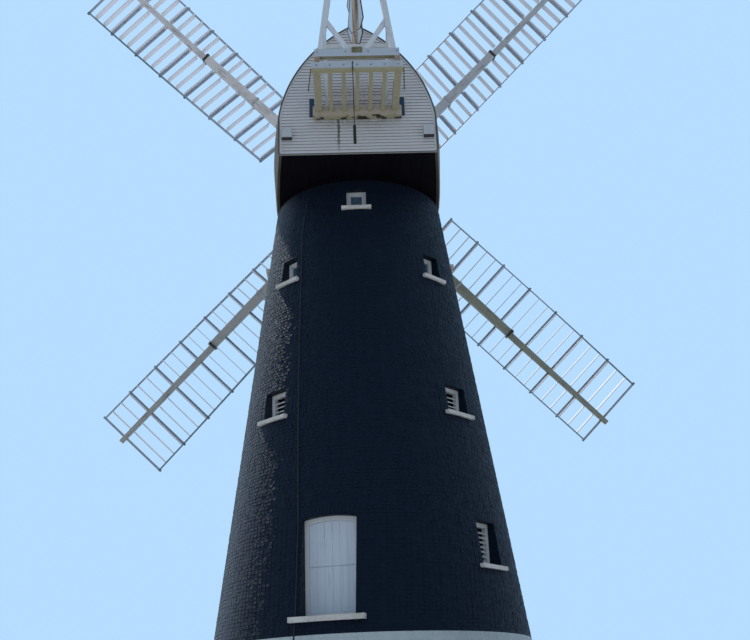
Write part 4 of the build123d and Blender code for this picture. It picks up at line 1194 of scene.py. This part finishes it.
# Drip board across the rear gable, above the stage
dripBoard = {"low": 15.93, "high": 16.01, "proud": 0.04, "slope": 0.012, "shy": 0.012}


def dripPlace(corner):
    z = dripBoard["low"] + corner.y * (dripBoard["high"] - dripBoard["low"])
    half = acrossAt(capOutline(cap["rear"] - cap["wall"]), z) - dripBoard["shy"]
    proud = dripBoard["proud"] - dripBoard["slope"] * corner.y
    return ((2 * corner.x - 1) * half, cap["rear"] + (proud if corner.z > 0.5 else 0.0), z)


joinCopies("gable_drip_board", boardBlock, [dripPlace], "cap", "joinery")

# Dark strips along the edges of the fan's vanes; the outline gives half widths by reach
vaneOutline = [(0.43, 0.14), (1.15, 0.23), (1.399, 0.131)]
vaneEdges = {"wide": 0.014, "thick": 0.026, "overhang": 0.001, "endShift": 0.008, "endShy": 0.004}


def barCorner(start, end, across, through, corner):
    # Carries the unit block to a straight bar between two points
    return start.lerp(end, corner.x) + across * (corner.y - 0.5) + through * (corner.z - 0.5)


def vaneBars(number):
    angle, pitch = math.radians(360 / fanWheel["vanes"] * number), math.radians(fanWheel["pitch"])
    along, axle = Vector((0, math.sin(angle), -math.cos(angle))), Vector((1, 0, 0))
    across = axle * math.cos(pitch) + along.cross(axle) * math.sin(pitch)
    through = along.cross(across) * vaneEdges["thick"]
    centre = Vector((0, fanWheel["axisY"], fanWheel["axisZ"]))
    inset = vaneEdges["wide"] / 2 - vaneEdges["overhang"]
    bars = []
    for side in (-1, 1):
        spots = [centre + along * reach + across * side * (half - inset) for reach, half in vaneOutline]
        for near, far in zip(spots, spots[1:]):
            bars.append(partial(barCorner, near, far, across * vaneEdges["wide"], through))
    for (reach, half), way in ((vaneOutline[0], 1), (vaneOutline[-1], -1)):
        middle = centre + along * (reach + way * vaneEdges["endShift"])
        aside = across * (half - vaneEdges["endShy"])
        bars.append(partial(barCorner, middle - aside, middle + aside, along * vaneEdges["wide"], through))
    return bars


allVaneBars = [bar for number in range(fanWheel["vanes"]) for bar in vaneBars(number)]
joinCopies("vane_edges", boardBlock, allVaneBars, "fan", "darkTimber")

# Bolts: one nut over its washer, in shares of its size, copied to the stage and the entrance door
washer = {"vertices": 10, "radius": 0.5, "depth": 0.08}
nut = {"vertices": 6, "radius": 0.36, "depth": 0.34}
nutLift = 0.04


def modelNut():
    middle = washer["depth"] + nutLift + nut["depth"] / 2
    bpy.ops.mesh.primitive_cylinder_add(**washer, location=(0, 0, washer["depth"] / 2))
    under = bpy.context.active_object
    bpy.ops.mesh.primitive_cylinder_add(**nut, location=(0, 0, middle))
    under.select_set(True)
    bpy.ops.object.join()
    bpy.ops.object.transform_apply()
    return patternOf(bpy.context.active_object)


def nutCorner(spot, outwards, size, corner):
    outwards = Vector(outwards).normalized()
    aside = outwards.orthogonal().normalized()
    upright = outwards.cross(aside)
    return Vector(spot) + size * (aside * corner.x + upright * corner.y + outwards * corner.z)


# In turn along the outer beam, on the posts, on the top beam and under the wall beam
beamBack, back, down = 4.86, (0, 1, 0), (0, 0, -1)
stageNuts = [((x, beamBack, 14.17), back, 0.05) for x in (-0.86, -0.58, -0.29, 0, 0.29, 0.58, 0.86)]
stageNuts += [((side * 0.845, beamBack, z), back, 0.04) for side in (-1, 1) for z in (14.29, 14.35)]
stageNuts += [((side * x, beamBack, 14.5), back, 0.045) for side in (-1, 1) for x in (0.24, 0.845)]
stageNuts += [((x, 3.2, 13.99), down, 0.05) for x in (-0.86, 0.86)]
nutBlock = modelNut()
boltPlaces = [partial(nutCorner, *place) for place in stageNuts]
joinCopies("stage_bolts", nutBlock, boltPlaces, "cap", "paintedNuts")

# Iron on the entrance door: two strap hinges, a ring handle and its plate
doorFront = 3.2478
straps = {
    "heights": (0.62, 1.72),
    "start": 0.45,
    "long": 0.78,
    "wide": 0.05,
    "taper": 0.45,
    "thick": 0.006,
    "sunk": 0.2,
    "lengths": 6,
}
strapNuts = {"first": 0.4, "apart": 0.16, "count": 5, "size": 0.03, "proud": 0.004}
handle = {"across": -0.37, "z": 1.05, "proud": 0.018, "radius": 0.045, "thick": 0.006}
plate = {"across": -0.405, "z": 1.065, "wide": 0.07, "high": 0.08, "thick": 0.012, "sunk": 0.1}


def strapPlace(height, corner):
    across = straps["start"] - corner.x * straps["long"]
    z = height + (corner.y - 0.5) * straps["wide"] * (1 - straps["taper"] * corner.x)
    return onFace(door["azimuth"], doorFront + straps["thick"] * (corner.z - straps["sunk"]), across, z)


def strapNut(index, z):
    across = strapNuts["first"] - strapNuts["apart"] * index
    spot = onFace(door["azimuth"], doorFront + strapNuts["proud"], across, z)
    return partial(nutCorner, spot, onFace(door["azimuth"], 1, 0, 0), strapNuts["size"])


def platePlace(corner):
    across, z = plate["across"] + plate["wide"] * corner.x, plate["z"] + plate["high"] * corner.y
    return onFace(door["azimuth"], doorFront + plate["thick"] * (corner.z - plate["sunk"]), across, z)


def addRing(name, spot, turn, radius, thick, body):
    # A forged ring: a torus set in place
    bpy.ops.mesh.primitive_torus_add(
        major_segments=28, minor_segments=8, major_radius=radius, minor_radius=thick
    )
    ring = bpy.context.active_object
    ring.name = name
    ring.rotation_euler = turn
    ring.location = spot
    bpy.ops.object.transform_apply()
    bpy.ops.object.shade_smooth()
    ring.data.materials.append(paints["iron"])
    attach(ring, body)
    bpy.ops.object.select_all(action="DESELECT")


strapPlaces = [partial(strapPlace, z) for z in straps["heights"]]
joinCopies("entrance_door_straps", modelBoard(straps["lengths"]), strapPlaces, "tower", "iron")
doorNuts = [strapNut(index, z) for z in straps["heights"] for index in range(strapNuts["count"])]
joinCopies("entrance_door_nuts", nutBlock, doorNuts, "tower", "iron")
ringSpot = onFace(door["azimuth"], doorFront + handle["proud"], handle["across"], handle["z"])
ringTurn = (math.radians(90), 0, -math.radians(door["azimuth"]))
addRing("entrance_door_ring", ringSpot, ringTurn, handle["radius"], handle["thick"], "tower")
joinCopies("entrance_door_plate", sashBlock, [platePlace], "tower", "iron")

# Staples that hold the brake rope to the outer beam of the stage
staples = {"x": 0.1, "y": 4.866, "heights": (14.215, 14.09), "radius": 0.015, "thick": 0.0035}
for number, z in enumerate(staples["heights"], start=1):
    spot = (staples["x"], staples["y"], z)
    addRing(f"brake_rope_staple_{number}", spot, (0, 0, 0), staples["radius"], staples["thick"], "cap")
print("ironwork fitted")
